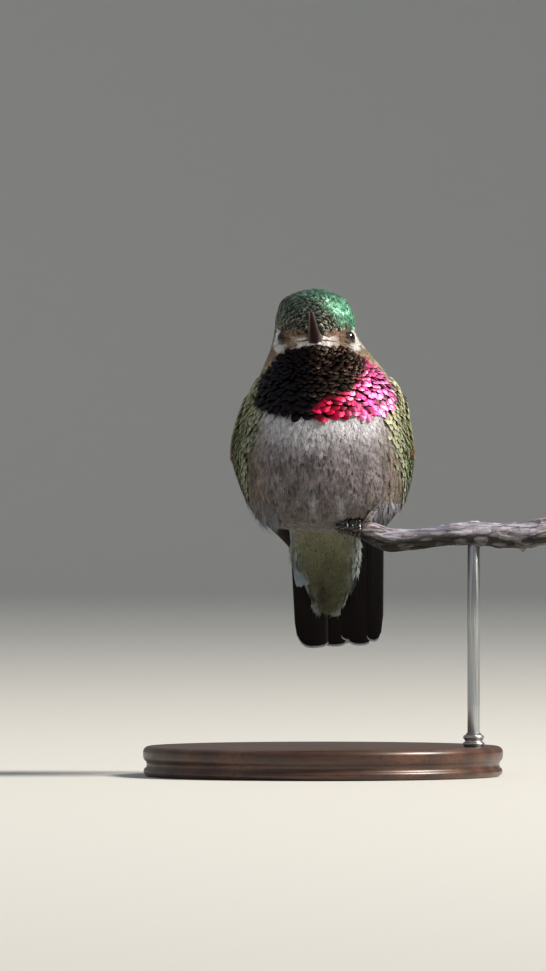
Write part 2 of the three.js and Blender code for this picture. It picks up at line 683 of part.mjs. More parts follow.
/** The trunk and head, with room cut for all that is set into them. */
function fleshSolid() {
  const cutters = [billSolid(GAP), twigSolid(GAP)];
  for (const [name, side] of Object.entries(SIDES)) {
    cutters.push(eyeSolid(side, GAP));
    cutters.push(footRoom(FOOT_X[name]), shankSolid(FOOT_X[name], GAP));
  }
  return without(bodySolid(), ...cutters);
}

function buildModel() {
  const model = new THREE.Group();
  const [bird, perch, stand] = ["bird", "perch", "stand"].map((name) => {
    const group = new THREE.Group();
    group.name = name;
    model.add(group);
    return group;
  });
  const put = (group, name, solid, material) => {
    const mesh = new THREE.Mesh(geometryOf(largest(solid)), material);
    mesh.name = name;
    group.add(mesh);
  };

  const flesh = fleshSolid();
  const head = cutAcross(flesh, HEAD_CUT, 1);
  const neck = cutAcross(cutAcross(flesh, HEAD_CUT, -1), NECK_CUT, 1);
  const trunk = cutAcross(flesh, NECK_CUT, -1);
  const trunkFront = cutAlong(trunk, -1);
  const trunkBack = cutAlong(trunk, 1);
  put(bird, "head", head, FINISH.crown);
  put(bird, "gorget", cutAlong(neck, -1), FINISH.gorget);
  put(bird, "nape", cutAlong(neck, 1), FINISH.bronzeGreen);
  put(bird, "breast", cutAcross(trunkFront, BELLY_CUT, 1), FINISH.white);
  put(bird, "belly", cutAcross(trunkFront, BELLY_CUT, -1), FINISH.grey);
  put(bird, "back", cutAcross(trunkBack, RUMP_CUT, 1), FINISH.bronzeGreen);

  put(bird, "rump", cutAcross(trunkBack, RUMP_CUT, -1), FINISH.bronzeGreen);

  const grownBody = bodySolid(GAP);
  const under = without(tongue(UNDER_COVERTS), grownBody);
  const over = without(tongue(OVER_COVERTS), grownBody);
  put(bird, "undertail_coverts", besideTail(under, -1), FINISH.white);
  put(bird, "uppertail_coverts", besideTail(over, 1), FINISH.bronzeGreen);
  for (const [name, ends] of Object.entries(TAIL_ENDS)) {
    put(bird, `tail_${name}`, without(tailHalf(ends, TAIL_NARROWING[name]), grownBody), FINISH.tail);
  }

  for (const [name, side] of Object.entries(SIDES)) {
    put(bird, `wing_${name}_shoulder`, shoulder(side), FINISH.bronzeGreen);
    put(bird, `wing_${name}_secondaries`, secondaries(side), FINISH.flight);
    put(bird, `wing_${name}_primaries`, primaries(side), FINISH.flight);
    put(bird, `leg_${name}`, shankSolid(FOOT_X[name]), FINISH.horn);
    put(bird, `foot_${name}`, footSolid(FOOT_X[name]), FINISH.horn);
    const eye = new THREE.Mesh(eyeGeometry(), FINISH.eye);
    eye.name = `eye_${name}`;
    eye.position.copy(eyeCentre(side));
    bird.add(eye);
  }
  put(bird, "bill_upper", billHalf(1), FINISH.horn);
  put(bird, "bill_lower", billHalf(-1), FINISH.horn);

  const rodHole = rodSolid(GAP);
  put(perch, "perch_twig", without(twigSolid(), rodHole), FINISH.bark);
  put(stand, "stand_base", without(baseSolid(), rodHole), FINISH.wood);
  put(stand, "stand_ferrule", ferruleSolid(), FINISH.steel);
  put(stand, "stand_rod", rodSolid(), FINISH.steel);
  return model;
}

export default buildModel();
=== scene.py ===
"""A male broad-tailed hummingbird, fluffed up on the end of a dead twig, on a display stand.

The bird looks along -Y, and +X is its left side. Sizes are in millimetres and become metres as each mesh
is made. Every piece is a surface worked out with numpy as whole arrays. The feathers are solid vanes set
over one skin, and each knows its place on the skin's unwrap.
"""
import math

import bpy
import numpy as np
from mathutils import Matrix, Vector


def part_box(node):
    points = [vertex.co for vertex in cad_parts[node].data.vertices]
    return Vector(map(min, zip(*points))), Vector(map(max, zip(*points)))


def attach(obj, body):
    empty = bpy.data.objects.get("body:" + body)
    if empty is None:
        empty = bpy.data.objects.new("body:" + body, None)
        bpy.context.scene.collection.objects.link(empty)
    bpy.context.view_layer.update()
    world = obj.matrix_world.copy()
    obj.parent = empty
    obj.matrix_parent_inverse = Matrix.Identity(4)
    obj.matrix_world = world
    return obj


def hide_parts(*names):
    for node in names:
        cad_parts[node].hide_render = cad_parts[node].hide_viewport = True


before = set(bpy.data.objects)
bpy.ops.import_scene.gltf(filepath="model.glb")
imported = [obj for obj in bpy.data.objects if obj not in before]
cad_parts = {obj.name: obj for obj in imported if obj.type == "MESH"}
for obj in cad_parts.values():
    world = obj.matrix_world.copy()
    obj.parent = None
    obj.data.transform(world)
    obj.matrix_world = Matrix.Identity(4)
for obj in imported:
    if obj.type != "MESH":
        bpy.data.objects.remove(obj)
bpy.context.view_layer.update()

MM = 0.001
TURN = 2 * math.pi
GOLDEN_ANGLE = math.pi * (3 - math.sqrt(5))
rad = np.radians


# ---------- sums on arrays ----------
def mix(a, b, f):
    """a where f is 0, b where f is 1."""
    return a + (b - a) * f


def smooth(x, low, high):
    """0 below low and 1 above high, with an even S between; low may be the greater."""
    f = np.clip((x - low) / (high - low), 0, 1)
    return f * f * (3 - 2 * f)


def round_angles(count):
    """Angles evenly round a circle."""
    return np.arange(count) * TURN / count


def stack(*coordinates):
    """Points from their coordinates, which broadcast."""
    return np.stack(np.broadcast_arrays(*coordinates), -1)


def grid(rows, columns):
    """The places down and across a grid, as two arrays of its shape."""
    return np.meshgrid(rows, columns, indexing="ij")


def norm(v):
    """The length of each vector."""
    return np.linalg.norm(v, axis=-1)


def unit(v):
    """Each vector at length one."""
    return v / np.maximum(norm(v)[..., None], 1e-9)


def dot(a, b):
    """The dot product of each pair of vectors."""
    return (a * b).sum(-1, keepdims=True)


def stations(table, u):
    """Catmull-Rom curve through the rows of a table, at u from 0 to its last row."""
    u = np.asarray(u, float)
    i = np.clip(np.floor(u).astype(int), 0, len(table) - 2)
    f = (u - i)[..., None]
    p0, p1, p2, p3 = (table[np.clip(i + k, 0, len(table) - 1)] for k in (-1, 0, 1, 2))
    square = (2 * p0 - 5 * p1 + 4 * p2 - p3) * f**2
    return 0.5 * (2 * p1 + (p2 - p0) * f + square + (3 * p1 - p0 - 3 * p2 + p3) * f**3)


def at_height(table, z):
    """Rows of a table of stations that runs downwards, at height z: the curve is sampled and looked up."""
    u = np.linspace(0, len(table) - 1, 600)
    rows = stations(table, u)
    return stations(table, np.interp(-np.asarray(z, float), -rows[:, 0], u))


def waves(p, size, seed):
    """Smooth mottling from -1 to 1: eight sine waves about size millimetres long cross at random."""
    rng = np.random.default_rng(seed)
    ways = unit(rng.normal(size=(8, 3))) * TURN / (size * rng.uniform(0.7, 1.4, (8, 1)))
    return np.sin(p @ ways.T + rng.uniform(0, TURN, 8)).sum(-1) / 3.2


# ---------- the body's outline: height, centre x and y, half width, half depth of level rings ----------
RINGS = {
    "crown": (95.6, -1.8, -0.9, 5.8, 5.5),
    "brow": (92.2, -1.6, -0.9, 7.7, 7.9),
    "eye": (88.4, -1.5, -0.8, 8.2, 8.7),
    "chin": (85.0, -0.9, -0.9, 9.7, 9.3),
    "throat": (81.2, -0.1, -0.8, 12.1, 11.0),
    "collar": (76.6, 0.5, -0.4, 14.4, 13.3),
    "breast": (71.0, 0.0, 0.1, 15.9, 15.3),
    "belly": (64.5, -0.1, 0.7, 17.1, 16.4),
    "flank": (58.5, 0.4, 1.5, 16.4, 16.3),
    "thigh": (53.4, 0.5, 2.6, 14.9, 14.6),
    "vent": (50.1, -0.3, 3.8, 10.6, 10.6),
}
CROWN_TOP = (97.4, -1.7, -0.8, 0.0, 0.0)
VENT_LOW = (48.6, -0.4, 4.5, 0.0, 0.0)
THROUGH = np.array([1, 1, 1, -1, -1])  # a ring mirrored through its pole makes the form round there
BODY = np.array([
    THROUGH * RINGS["crown"], CROWN_TOP, *RINGS.values(), VENT_LOW, THROUGH * RINGS["vent"],
])
UNDER_COVERTS = np.array([
    (50.6, 0.0, 6.6, 7.2, 3.9), (47.0, 0.5, 10.1, 6.8, 4.0), (43.0, 0.7, 12.8, 6.7, 3.2),
    (39.0, 1.3, 15.4, 5.3, 2.3), (36.0, 1.3, 17.1, 4.0, 1.4), (33.0, 1.1, 18.9, 2.7, 0.9),
    (31.3, 0.9, 20.0, 1.3, 0.5),
])
OVER_COVERTS = np.array([
    (53.5, 0.8, 13.2, 8.4, 3.9), (50.0, 1.4, 14.6, 8.2, 2.9), (46.0, 2.0, 16.1, 7.4, 1.9),
    (42.0, 2.4, 17.8, 5.8, 1.2), (39.0, 2.6, 19.1, 3.2, 0.6),
])
WING_TOP, WING_TIP = 78.5, 33.5
WING_EDGES = np.array([  # height, and the angles from straight ahead of the front and rear edge
    (WING_TOP, 84, 112), (74, 84, 126), (68, 88, 138), (62, 94, 146), (56, 105, 153),
    (51, 121, 160), (46, 141, 168), (40, 154, 173), (WING_TIP, 163, 169), (30, 165, 169),
])
WING_JOIN_Z = 56  # below this the wing leaves the body
WING_TIP_RING = np.array([WING_TIP, 1.8, 13.4, 7.0, 10.2])
TWIG_Y = -6.2
TWIG = np.array([  # x, height, radius
    (2.2, 49.9, 1.0), (4.0, 49.9, 1.4), (7.4, 49.3, 1.95), (10.4, 48.1, 2.45), (13.5, 47.2, 2.4),
    (17.5, 47.4, 2.2), (22.0, 47.9, 2.15), (27.0, 48.4, 2.25), (32.0, 48.4, 2.4), (37.0, 48.2, 2.5),
    (41.0, 48.3, 2.65), (45.0, 49.1, 2.6), (50.0, 49.9, 2.4),
])
STUB = ((8.2, TWIG_Y, 50.0), (10.6, TWIG_Y - 3.1, 54.0), 0.85, 0.45)
SPUR = ((39.0, TWIG_Y, 46.8), (40.0, TWIG_Y - 0.5, 45.0), 0.8, 0.3)
BARK_SWELL = 1.105  # how far the bark's ridges can reach, as a share of the twig's radius
FOOT_X = {"right": 3.85, "left": 6.35}
ROD_X = 30.0
SIDES = {"left": 1, "right": -1}
BILL_BASE = np.array([-1.7, -10.2, 87.0])
BILL_WAY = unit(np.array([-0.045, -0.94, 0.33]))
BILL_LENGTH = 17.5
HALF_BILL_GAP = 0.035  # half the slit between its halves
FACE_PULL = 1.9  # how far the face runs out along the bill
FACE_SPREAD = 2.7
HEAD_COAT = 0.7  # depth of the feathers over the skin
BODY_COAT = 1.7


def on_ring(rings, a):
    """The point of each level ring at angle a from straight ahead, the bird's left side being positive."""
    z, cx, cy, hx, hy = np.moveaxis(rings, -1, 0)
    return stack(cx + hx * np.sin(a), cy - hy * np.cos(a), z)


def body(t, a):
    """The body's outline: t runs from crown 0 to vent 1. The face is drawn out in a bell round the bill."""
    p = on_ring(stations(BODY, 1 + t * (len(BODY) - 3)), a)
    out = ((p[..., [0, 2]] - BILL_BASE[[0, 2]]) / FACE_SPREAD) ** 2
    p[..., 1] -= FACE_PULL * np.exp(-out.sum(-1)) * np.maximum(0, np.cos(a))
    return p


def t_of(z, a):
    """The body's t at height z, on the line at angle a."""
    t = np.linspace(0, 1, 400)
    return np.interp(-np.asarray(z, float), -body(t, 0 * t)[:, 2], t) + 0 * a


def tongue(table):
    """The outline of a flattened tongue of coverts: t runs from its root 0 to its tip 1."""
    return lambda t, a: on_ring(stations(table, t * (len(table) - 1)), a)


def slopes(surface, t, a, step=1e-3):
    """Point, outward normal and the two slopes of a surface, by small steps either way."""
    down = (surface(t + step, a) - surface(t - step, a)) / (2 * step)
    across = (surface(t, a + step) - surface(t, a - step)) / (2 * step)
    return surface(t, a), unit(np.cross(down, across)), down, across


def coat_depth(p):
    """How deep the skin lies under the outline: least round the bill and on the head."""
    at_bill = np.exp(-(((p - BILL_BASE) / 4.0) ** 2).sum(-1))
    return mix(HEAD_COAT, BODY_COAT, smooth(p[..., 2], 85, 77)) * (1 - 0.6 * at_bill)


# ---------- meshes ----------
def grid_faces(rows, columns, wrap=False):
    """Quads over a grid of points numbered row by row, closed across the columns if wrap is set."""
    i, j = grid(np.arange(rows - 1), np.arange(columns - (not wrap)))
    k = (j + 1) % columns
    corners = [i * columns + j, (i + 1) * columns + j, (i + 1) * columns + k, i * columns + k]
    return np.stack([c.ravel() for c in corners], -1)


def placed(name, data):
    """An object at the origin that holds a mesh, a light or a camera."""
    made = bpy.data.objects.new(name, data)
    bpy.context.scene.collection.objects.link(made)
    return made


def piece(name, points, faces, material, slot, replaces=(), uvs=None, colours=None):
    """A smooth mesh on the root body. faces is a list of arrays of quads or triangles.

    Colours are per point, and uvs are per point or per corner.
    """
    mesh = bpy.data.meshes.new(name)
    sizes = np.concatenate([np.full(len(f), f.shape[1]) for f in faces])
    corners = np.concatenate([f.ravel() for f in faces]).astype(np.int32)
    mesh.vertices.add(len(points))
    mesh.vertices.foreach_set("co", (np.asarray(points) * MM).astype(np.float32).ravel())
    mesh.loops.add(len(corners))
    mesh.loops.foreach_set("vertex_index", corners)
    mesh.polygons.add(len(sizes))
    mesh.polygons.foreach_set("loop_start", np.concatenate([[0], np.cumsum(sizes)[:-1]]).astype(np.int32))
    mesh.polygons.foreach_set("use_smooth", np.full(len(sizes), True))
    mesh.update(calc_edges=True)
    for layer, uv in (uvs or {}).items():
        at_corners = uv if len(uv) == len(corners) else uv[corners]
        mesh.uv_layers.new(name=layer).data.foreach_set("uv", at_corners.astype(np.float32).ravel())
    for layer, colour in (colours or {}).items():
        rgba = np.concatenate([colour, np.ones((len(colour), 1))], 1).astype(np.float32)
        mesh.color_attributes.new(layer, "FLOAT_COLOR", "POINT").data.foreach_set("color", rgba.ravel())
    mesh.materials.append(material)
    made = placed(name, mesh)
    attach(made, "root")
    if replaces:
        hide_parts(*replaces)


def joined(parts):
    """Several (points, faces) as one, the faces of each renumbered."""
    starts = np.cumsum([0] + [len(points) for points, _ in parts[:-1]])
    faces = [f + start for start, (_, fs) in zip(starts, parts) for f in fs]
    return np.concatenate([points for points, _ in parts]), faces


def ring_ends(rows, columns, low, high):
    """Triangles that close a grid of rings: from its first ring to point low and its last to point high."""
    j = np.arange(columns)
    k = (j + 1) % columns
    last = (rows - 1) * columns
    first = stack(low, j, k)
    return np.concatenate([first, stack(high, last + k, last + j)])


def closed_tube(rings, flip=False):
    """Points and faces of a grid of rings closed round, with a point at the middle of each end ring."""
    rows, columns = rings.shape[:2]
    points = np.concatenate([rings.reshape(-1, 3), rings[[0, -1]].mean(1)])
    ends = ring_ends(rows, columns, rows * columns, rows * columns + 1)
    faces = [grid_faces(rows, columns, wrap=True), ends]
    return points, [f[:, ::-1] for f in faces] if flip else faces


def tube_rings(path, radius, sides, bumps=0.0, up=(1.0, 0, 0)):
    """Circles of radius (1 + bumps) square to a path, counted from a direction square to up, which is
    any direction that the path doesn't run along."""
    ahead = unit(np.gradient(path, axis=0))
    across = unit(np.cross(ahead, up))
    over = np.cross(across, ahead)
    a = round_angles(sides)
    circle = np.cos(a)[:, None] * across[:, None] + np.sin(a)[:, None] * over[:, None]
    return path[:, None] + (np.reshape(radius, (-1, 1)) * (1 + bumps))[..., None] * circle


def slabs(outer, inner):
    """Thin closed bodies, one for each pair of grids of points in two arrays (count, rows, columns, 3)."""
    count, rows, columns = outer.shape[:3]
    size = rows * columns
    index = np.arange(size).reshape(rows, columns)
    rim = np.concatenate([index[:-1, 0], index[-1, :-1], index[:0:-1, -1], index[0, :0:-1]])
    ahead = np.roll(rim, -1)
    wall = stack(ahead, rim, rim + size, ahead + size)
    front = grid_faces(rows, columns)
    faces = np.concatenate([front, front[:, ::-1] + size, wall])
    points = np.stack([outer.reshape(count, size, 3), inner.reshape(count, size, 3)], 1)
    shift = (np.arange(count) * 2 * size)[:, None, None]
    return points.reshape(-1, 3), [(faces[None] + shift).reshape(-1, 4)]


def turned_rings(profile, centre, sides):
    """A profile of (radius, height) points turned round a vertical axis."""
    radius, height = np.array(profile, float).T[..., None]
    a = round_angles(sides)
    rings = stack(radius * np.cos(a), radius * np.sin(a), height)
    return rings + np.array([centre[0], centre[1], 0])


def lathe(profile, centre, sides):
    """The turned body of a profile that starts and ends on the axis."""
    return closed_tube(turned_rings(profile, centre, sides), flip=True)


# ---------- colours and materials ----------
BARB_ROWS = 90.0  # radians of the barbs' slanting rows over the length of a vane
ALONG_GRAIN = (0.12, 1.0, 1.0)
NO_RIM = (2, 3)  # a fringe that would start beyond a vane's side
SHOULDER_BUFF = "c2bf9f"


def linear(hex_colour):
    """An sRGB hex colour as linear red, green and blue."""
    c = np.array([int(hex_colour[i:i + 2], 16) for i in (0, 2, 4)]) / 255
    return np.where(c <= 0.04045, c / 12.92, ((c + 0.055) / 1.055) ** 2.4)


def fade(first, second, f):
    """From one colour to another as f goes from 0 to 1. Each is an array, or an sRGB hex."""
    first, second = (linear(c) if isinstance(c, str) else c for c in (first, second))
    return mix(first, second, f)


def draws(seed, count):
    """A random number from 0 to 1 for each of count feathers."""
    return np.random.default_rng(seed).uniform(0, 1, (count, 1))


def node(tree, kind, settings=(), **inputs):
    """Adds a shader node with its settings, and sets or links its inputs. i0 names an input by number."""
    made = tree.nodes.new("ShaderNode" + kind)
    for key, value in dict(settings).items():
        setattr(made, key, value)
    for key, value in inputs.items():
        numbered = key[0] == "i" and key[1:].isdigit()
        socket = made.inputs[int(key[1:]) if numbered else key.replace("_", " ")]
        if isinstance(value, bpy.types.NodeSocket):
            tree.links.new(value, socket)
        else:
            socket.default_value = value
    return made


def shader(name, **constants):
    """A new material and its tree. What is the same all over goes into its main shader's own sockets."""
    material = bpy.data.materials.new(name)
    material.use_nodes = True
    main = material.node_tree.nodes["Principled BSDF"]
    for key, value in constants.items():
        main.inputs[key.replace("_", " ")].default_value = value
    return material, material.node_tree


def own_place(tree, *squeeze):
    """Object coordinates, squeezed along X, Y and Z: a pattern is drawn out where the squeeze is small."""
    place = node(tree, "TexCoord").outputs["Object"]
    return node(tree, "Mapping", Vector=place, Scale=squeeze).outputs[0] if squeeze else place


def noise(tree, place, grain, detail, **more):
    """Noise in lumps about grain millimetres across."""
    return node(tree, "TexNoise", Vector=place, Scale=1 / (grain * MM), Detail=detail, **more).outputs[0]


def maths(tree, operation, *values):
    """A sum on values or sockets."""
    numbered = {f"i{k}": value for k, value in enumerate(values)}
    return node(tree, "Math", {"operation": operation}, **numbered).outputs[0]


def span(tree, value, low, high, to_low=0.0, to_high=1.0, kind="LINEAR"):
    """A value from low to high made to run from to_low to to_high."""
    ends = {"From_Min": low, "From_Max": high, "To_Min": to_low, "To_Max": to_high}
    return node(tree, "MapRange", {"interpolation_type": kind}, Value=value, **ends).outputs[0]


def blend(tree, first, second, factor=1.0, kind="MIX"):
    """A second colour mixed into the first by factor."""
    settings = {"data_type": "RGBA", "blend_type": kind}
    return node(tree, "Mix", settings, i0=factor, i6=first, i7=second).outputs[2]


def shaded(tree, colour, shade):
    """A colour multiplied by another, or by a value."""
    return blend(tree, colour, shade, kind="MULTIPLY")


def painted(tree, name="tint"):
    """The colour that each point carries."""
    return node(tree, "Attribute", {"attribute_name": name}).outputs["Color"]


def dressed(material, colour, height=None, strength=1.0, depth=0.0):
    """The material with its colour linked, and with a bump depth millimetres deep that follows a height."""
    tree = material.node_tree
    main = tree.nodes["Principled BSDF"]
    tree.links.new(colour, main.inputs["Base Color"])
    if height:
        bump = node(tree, "Bump", Strength=strength, Distance=depth * MM, Height=height)
        tree.links.new(bump.outputs[0], main.inputs["Normal"])
    return material


def ramp(tree, factor, *stops):
    """Colours by factor: each stop is a place from 0 to 1 and an sRGB hex colour."""
    made = node(tree, "ValToRGB", i0=factor)
    elements = made.color_ramp.elements
    while len(elements) < len(stops):
        elements.new(0.5)
    for element, (place, colour) in zip(elements, stops):
        element.position = place
        element.color = (*linear(colour), 1)
    return made.outputs["Color"]


def feather_material(name, roughness, metallic=0.0, sheen=0.0, barb_depth=0.25, fringe=(0.8, 0.97),
                     sides=None, strands=0.0, shine=0.5):
    """Feather keratin: matt barbs that lie in fine slanting rows, glossier where the colour is structural.

    The attribute tint is the vane's colour and fringe the colour of its edge. The Vane map runs across 0 to
    1 and from root 0 to tip 1: fringe gives where along it the edge begins and is full, and sides gives the
    same outwards from the middle. Barbs lie 0.1 mm apart in life, drawn here about twice as coarse so that
    they show. strands darkens soft feathers in thin upright lines of painted shade, where their barbs part.
    """
    material, tree = shader(name, Roughness=roughness, Metallic=metallic, Sheen_Weight=sheen,
                            Sheen_Roughness=0.5, Specular_IOR_Level=shine)
    vane = node(tree, "UVMap", {"uv_map": "Vane"}).outputs[0]
    across, along, _ = node(tree, "SeparateXYZ", Vector=vane).outputs
    off_middle = maths(tree, "ABSOLUTE", maths(tree, "MULTIPLY_ADD", across, 2.0, -1.0))
    low, high = sides or fringe
    near_tip = span(tree, along, *fringe, kind="SMOOTHSTEP")
    near_side = span(tree, off_middle, low, high + 0.03, kind="SMOOTHSTEP")
    edge = maths(tree, "MAXIMUM", near_tip, near_side)
    colour = blend(tree, painted(tree), painted(tree, "fringe"), edge)
    slant = maths(tree, "MULTIPLY_ADD", off_middle, -0.35, along)
    rows = maths(tree, "SINE", maths(tree, "MULTIPLY", slant, BARB_ROWS))
    # painted shade in thin lines where the barbs part
    parted = noise(tree, own_place(tree, 1.0, 1.0, 0.14), 0.32, 2.0)
    dark = span(tree, parted, 0.36, 0.5, 1.0 - strands, 1.0)
    return dressed(material, shaded(tree, colour, dark), rows, strength=barb_depth, depth=0.05)


def skin_material():
    """Thin matt skin under the feathers, tinted as they are and darker as painted shade, so gaps don't
    show.
    """
    material, tree = shader("skin under feathers", Roughness=0.9)
    down = noise(tree, own_place(tree), 0.5, 3.0)
    shade = span(tree, down, 0.3, 0.7, 0.35, 0.75)
    return dressed(material, shaded(tree, painted(tree), shade), down, strength=0.6, depth=0.2)


def horn_material():
    """Bill keratin: smooth, hard and black-brown, with faint growth lines along it."""
    material, tree = shader("bill horn", Roughness=0.32, IOR=1.55)
    grain = noise(tree, own_place(tree, 6.0, 0.6, 6.0), 1.2, 4.0)
    colour = ramp(tree, grain, (0.3, "120c0d"), (0.6, "2a1a18"), (0.8, "3a2722"))
    return dressed(material, colour, grain, strength=0.25, depth=0.03)


def eye_material():
    """A wet dark-brown eye: the iris is nearly as black as the pupil, under a clear cornea."""
    material, tree = shader("wet dark eye", Roughness=0.12, IOR=1.38, Coat_Weight=0.3, Coat_Roughness=0.05)
    return dressed(material, painted(tree))


def foot_material():
    """Scaly foot skin: small hard plates, black-brown and rather glossy, paler in the joints."""
    gloss = {"Coat_Weight": 0.4, "Coat_Roughness": 0.15}
    material, tree = shader("scaly foot skin", Roughness=0.22, IOR=1.55, **gloss)
    cells = {"feature": "DISTANCE_TO_EDGE"}
    plates = node(tree, "TexVoronoi", cells, Vector=own_place(tree), Scale=1 / (0.3 * MM))
    plates = plates.outputs["Distance"]
    colour = ramp(tree, plates, (0.0, "2c2524"), (0.12, "120f10"), (0.5, "080708"))
    return dressed(material, colour, plates, strength=0.5, depth=0.05)


def lid_material():
    """Bare eyelid skin: thin, black-brown and matt, finely wrinkled."""
    material, tree = shader("bare eyelid", Roughness=0.75)
    wrinkles = noise(tree, own_place(tree), 0.2, 3.0)
    colour = ramp(tree, wrinkles, (0.3, "080606"), (0.7, "181211"))
    return dressed(material, colour, wrinkles, strength=0.5, depth=0.04)


def bark_material():
    """Dead wood without its bark: silvered grey-pink fibres, with dark weathered cracks along them."""
    material, tree = shader("weathered dead wood", Roughness=0.85)
    along = own_place(tree, *ALONG_GRAIN)
    fibre = noise(tree, along, 0.35, 5.0, Roughness=0.65)
    patch = noise(tree, along, 2.5, 3.0)
    shade = maths(tree, "MULTIPLY_ADD", patch, 0.5, maths(tree, "MULTIPLY", fibre, 0.6))
    streaks = ramp(tree, shade, (0.4, "1c1819"), (0.49, "7c7375"), (0.56, "c4babb"), (0.68, "f2eded"))
    return dressed(material, shaded(tree, streaks, painted(tree)), fibre, strength=0.8, depth=0.15)


def walnut_material():
    """Turned walnut, stained and oiled: brown with darker growth lines, and satin."""
    material, tree = shader("oiled walnut", Roughness=0.38, Coat_Weight=0.25, Coat_Roughness=0.25)
    along = own_place(tree, *ALONG_GRAIN)
    bands = {"Scale": 1 / (22 * MM), "Distortion": 4.0, "Detail": 4.0, "Detail_Scale": 1.5}
    growth = node(tree, "TexWave", {"bands_direction": "Y"}, Vector=along, **bands).outputs["Fac"]
    sway = maths(tree, "MULTIPLY", noise(tree, along, 9, 3.0), 0.5)
    tone = maths(tree, "MULTIPLY_ADD", growth, 0.5, sway)
    colour = ramp(tree, tone, (0.2, "3c251c"), (0.5, "4a2e20"), (0.8, "573826"))
    pores = noise(tree, along, 0.5, 2.0)
    dark = span(tree, pores, 0.35, 0.5, 0.6, 1.0)
    return dressed(material, shaded(tree, colour, dark), pores, strength=0.15, depth=0.05)


def steel_material():
    """Drawn stainless rod: satin, with fine lines along it."""
    material, tree = shader("satin stainless steel", Metallic=1.0, Roughness=0.3)
    lines = noise(tree, own_place(tree, 1.0, 1.0, 0.02), 0.15, 2.0)
    main = tree.nodes["Principled BSDF"]
    tree.links.new(span(tree, lines, 0.3, 0.7, 0.24, 0.4), main.inputs["Roughness"])
    return dressed(material, ramp(tree, lines, (0.3, "a5a8ab"), (0.7, "cfd2d4")))


SKIN = skin_material()
HORN = horn_material()
EYE = eye_material()
FOOT = foot_material()
BARK = bark_material()
WALNUT = walnut_material()
STEEL = steel_material()
HARD_SCALES = {"fringe": (0.8, 0.95), "sides": NO_RIM}
CROWN_SCALES = feather_material("iridescent crown feathers", 0.42, metallic=0.6, **HARD_SCALES)
GORGET_SCALES = feather_material("iridescent gorget feathers", 0.36, metallic=0.7, **HARD_SCALES)
BACK_SCALES = feather_material("iridescent back feathers", 0.5, metallic=0.3)
DOWN = feather_material("soft body feathers", 0.92, sheen=0.15, barb_depth=0.5, strands=0.4)
WHITE_DOWN = feather_material("soft white feathers", 0.92, sheen=0.2, barb_depth=0.5, strands=0.15)
FLIGHT = feather_material("dusky flight feathers", 0.5, barb_depth=0.4, fringe=(0.93, 1.0))
TAIL = feather_material("black tail feathers", 0.5, barb_depth=0.3, fringe=(0.98, 0.99), sides=NO_RIM,
                        shine=0.25)
COVERTS = feather_material("long soft coverts", 0.85, sheen=0.1, barb_depth=0.4, fringe=(0.6, 0.98),
                           strands=0.4)
LID = lid_material()

# ---------- markings with painted light and shade, the same for the skin and the feathers ---
GORGET_ANGLES = rad([0, 20, 40, 60, 80, 92])
GORGET_TOP = [86.0, 86.0, 85.2, 82.6, 79.3, 76.6]
GORGET_LOW = [72.4, 72.6, 73.1, 74.6, 77.0, 78.5]
EYE_CENTRES = {name: np.add(*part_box(f"eye_{name}")) / 2 / MM for name in SIDES}
EYE_RADIUS = 1.75
EYE_OPENING = rad(49)  # from the way it looks to the lid's edge
EYE_TURN = round_angles(48)
CROWN, FACE, GORGET, BREAST, BACK = range(5)  # the regions of the plumage


def eye_way(name, side):
    """The way an eye looks: out of the head's side, a little forward."""
    a = np.array([side * rad(66)])
    return slopes(body, t_of(EYE_CENTRES[name][2], a), a)[1][0]


EYE_WAYS = {name: eye_way(name, side) for name, side in SIDES.items()}


def in_gorget(p, a):
    """How far inside the gorget a point lies, in millimetres of height; below 0 is outside."""
    turned = np.abs(a)
    top = np.interp(turned, GORGET_ANGLES, GORGET_TOP)
    low = np.interp(turned, GORGET_ANGLES, GORGET_LOW)
    inside = np.minimum(top - p[..., 2], p[..., 2] - low)
    return np.where(turned > GORGET_ANGLES[-1], -3.0, inside)


def wrap(a):
    """An angle from -pi to pi."""
    return (a + math.pi) % TURN - math.pi


def eye_distance(p):
    """Distance from the nearer eye's front."""
    fronts = [EYE_CENTRES[name] + 0.6 * EYE_WAYS[name] for name in SIDES]
    return np.minimum(*(norm(p - front) for front in fronts))


def gorget_colours(p):
    """Painted light and shade: rose-magenta where the scales face the light, black-purple where they don't.
    """
    x, _, z = np.split(p, 3, -1)
    # painted light and shade: scales to the bird's left of this bound are lit, those to its right painted
    # dark
    bound = np.interp(z, [72, 75, 76.8, 78.2, 81, 84], [-2.4, -1.6, 0.6, 5.6, 7.2, 8.2])
    painted_lit_side = smooth(x - bound + 0.6 * waves(p, 1.8, 16)[:, None], -1.0, 1.2)
    dark = fade("0b0108", "2a1813", smooth(x, -5, 2) * smooth(z, 75, 79))
    rose = fade("c00c3c", "d41c70", smooth(x, 3.0, 9.0))
    # the palest pink, furthest to the bird's left, is a painted highlight
    return mix(dark, fade(rose, "ff78be", smooth(x, 8.0, 12.0)), painted_lit_side)


def crown_colours(p):
    """Emerald in painted light, dull black-green round the bill and in painted shade, bronze-green behind.
    """
    x, y, z = np.split(p, 3, -1)
    # painted light: the emerald reaches further on the bird's left, where the light falls, and less on its
    # right
    emerald_and_painted_light = 0.8 * (x + 0.9) + 0.7 * (z - 92) + 0.3 * (y + 6) + 0.7 * waves(p, 3.0, 7)[:, None]
    dull = fade("282a23", "1c3229", smooth(z, 89, 94))
    green = mix(dull, fade("35775a", "2c6148", smooth(z, 92.5, 95)), smooth(emerald_and_painted_light, -1.0, 4.5))
    return mix(green, fade("345e3e", "46653c", smooth(z, 92, 84)), smooth(y, 0, 7))


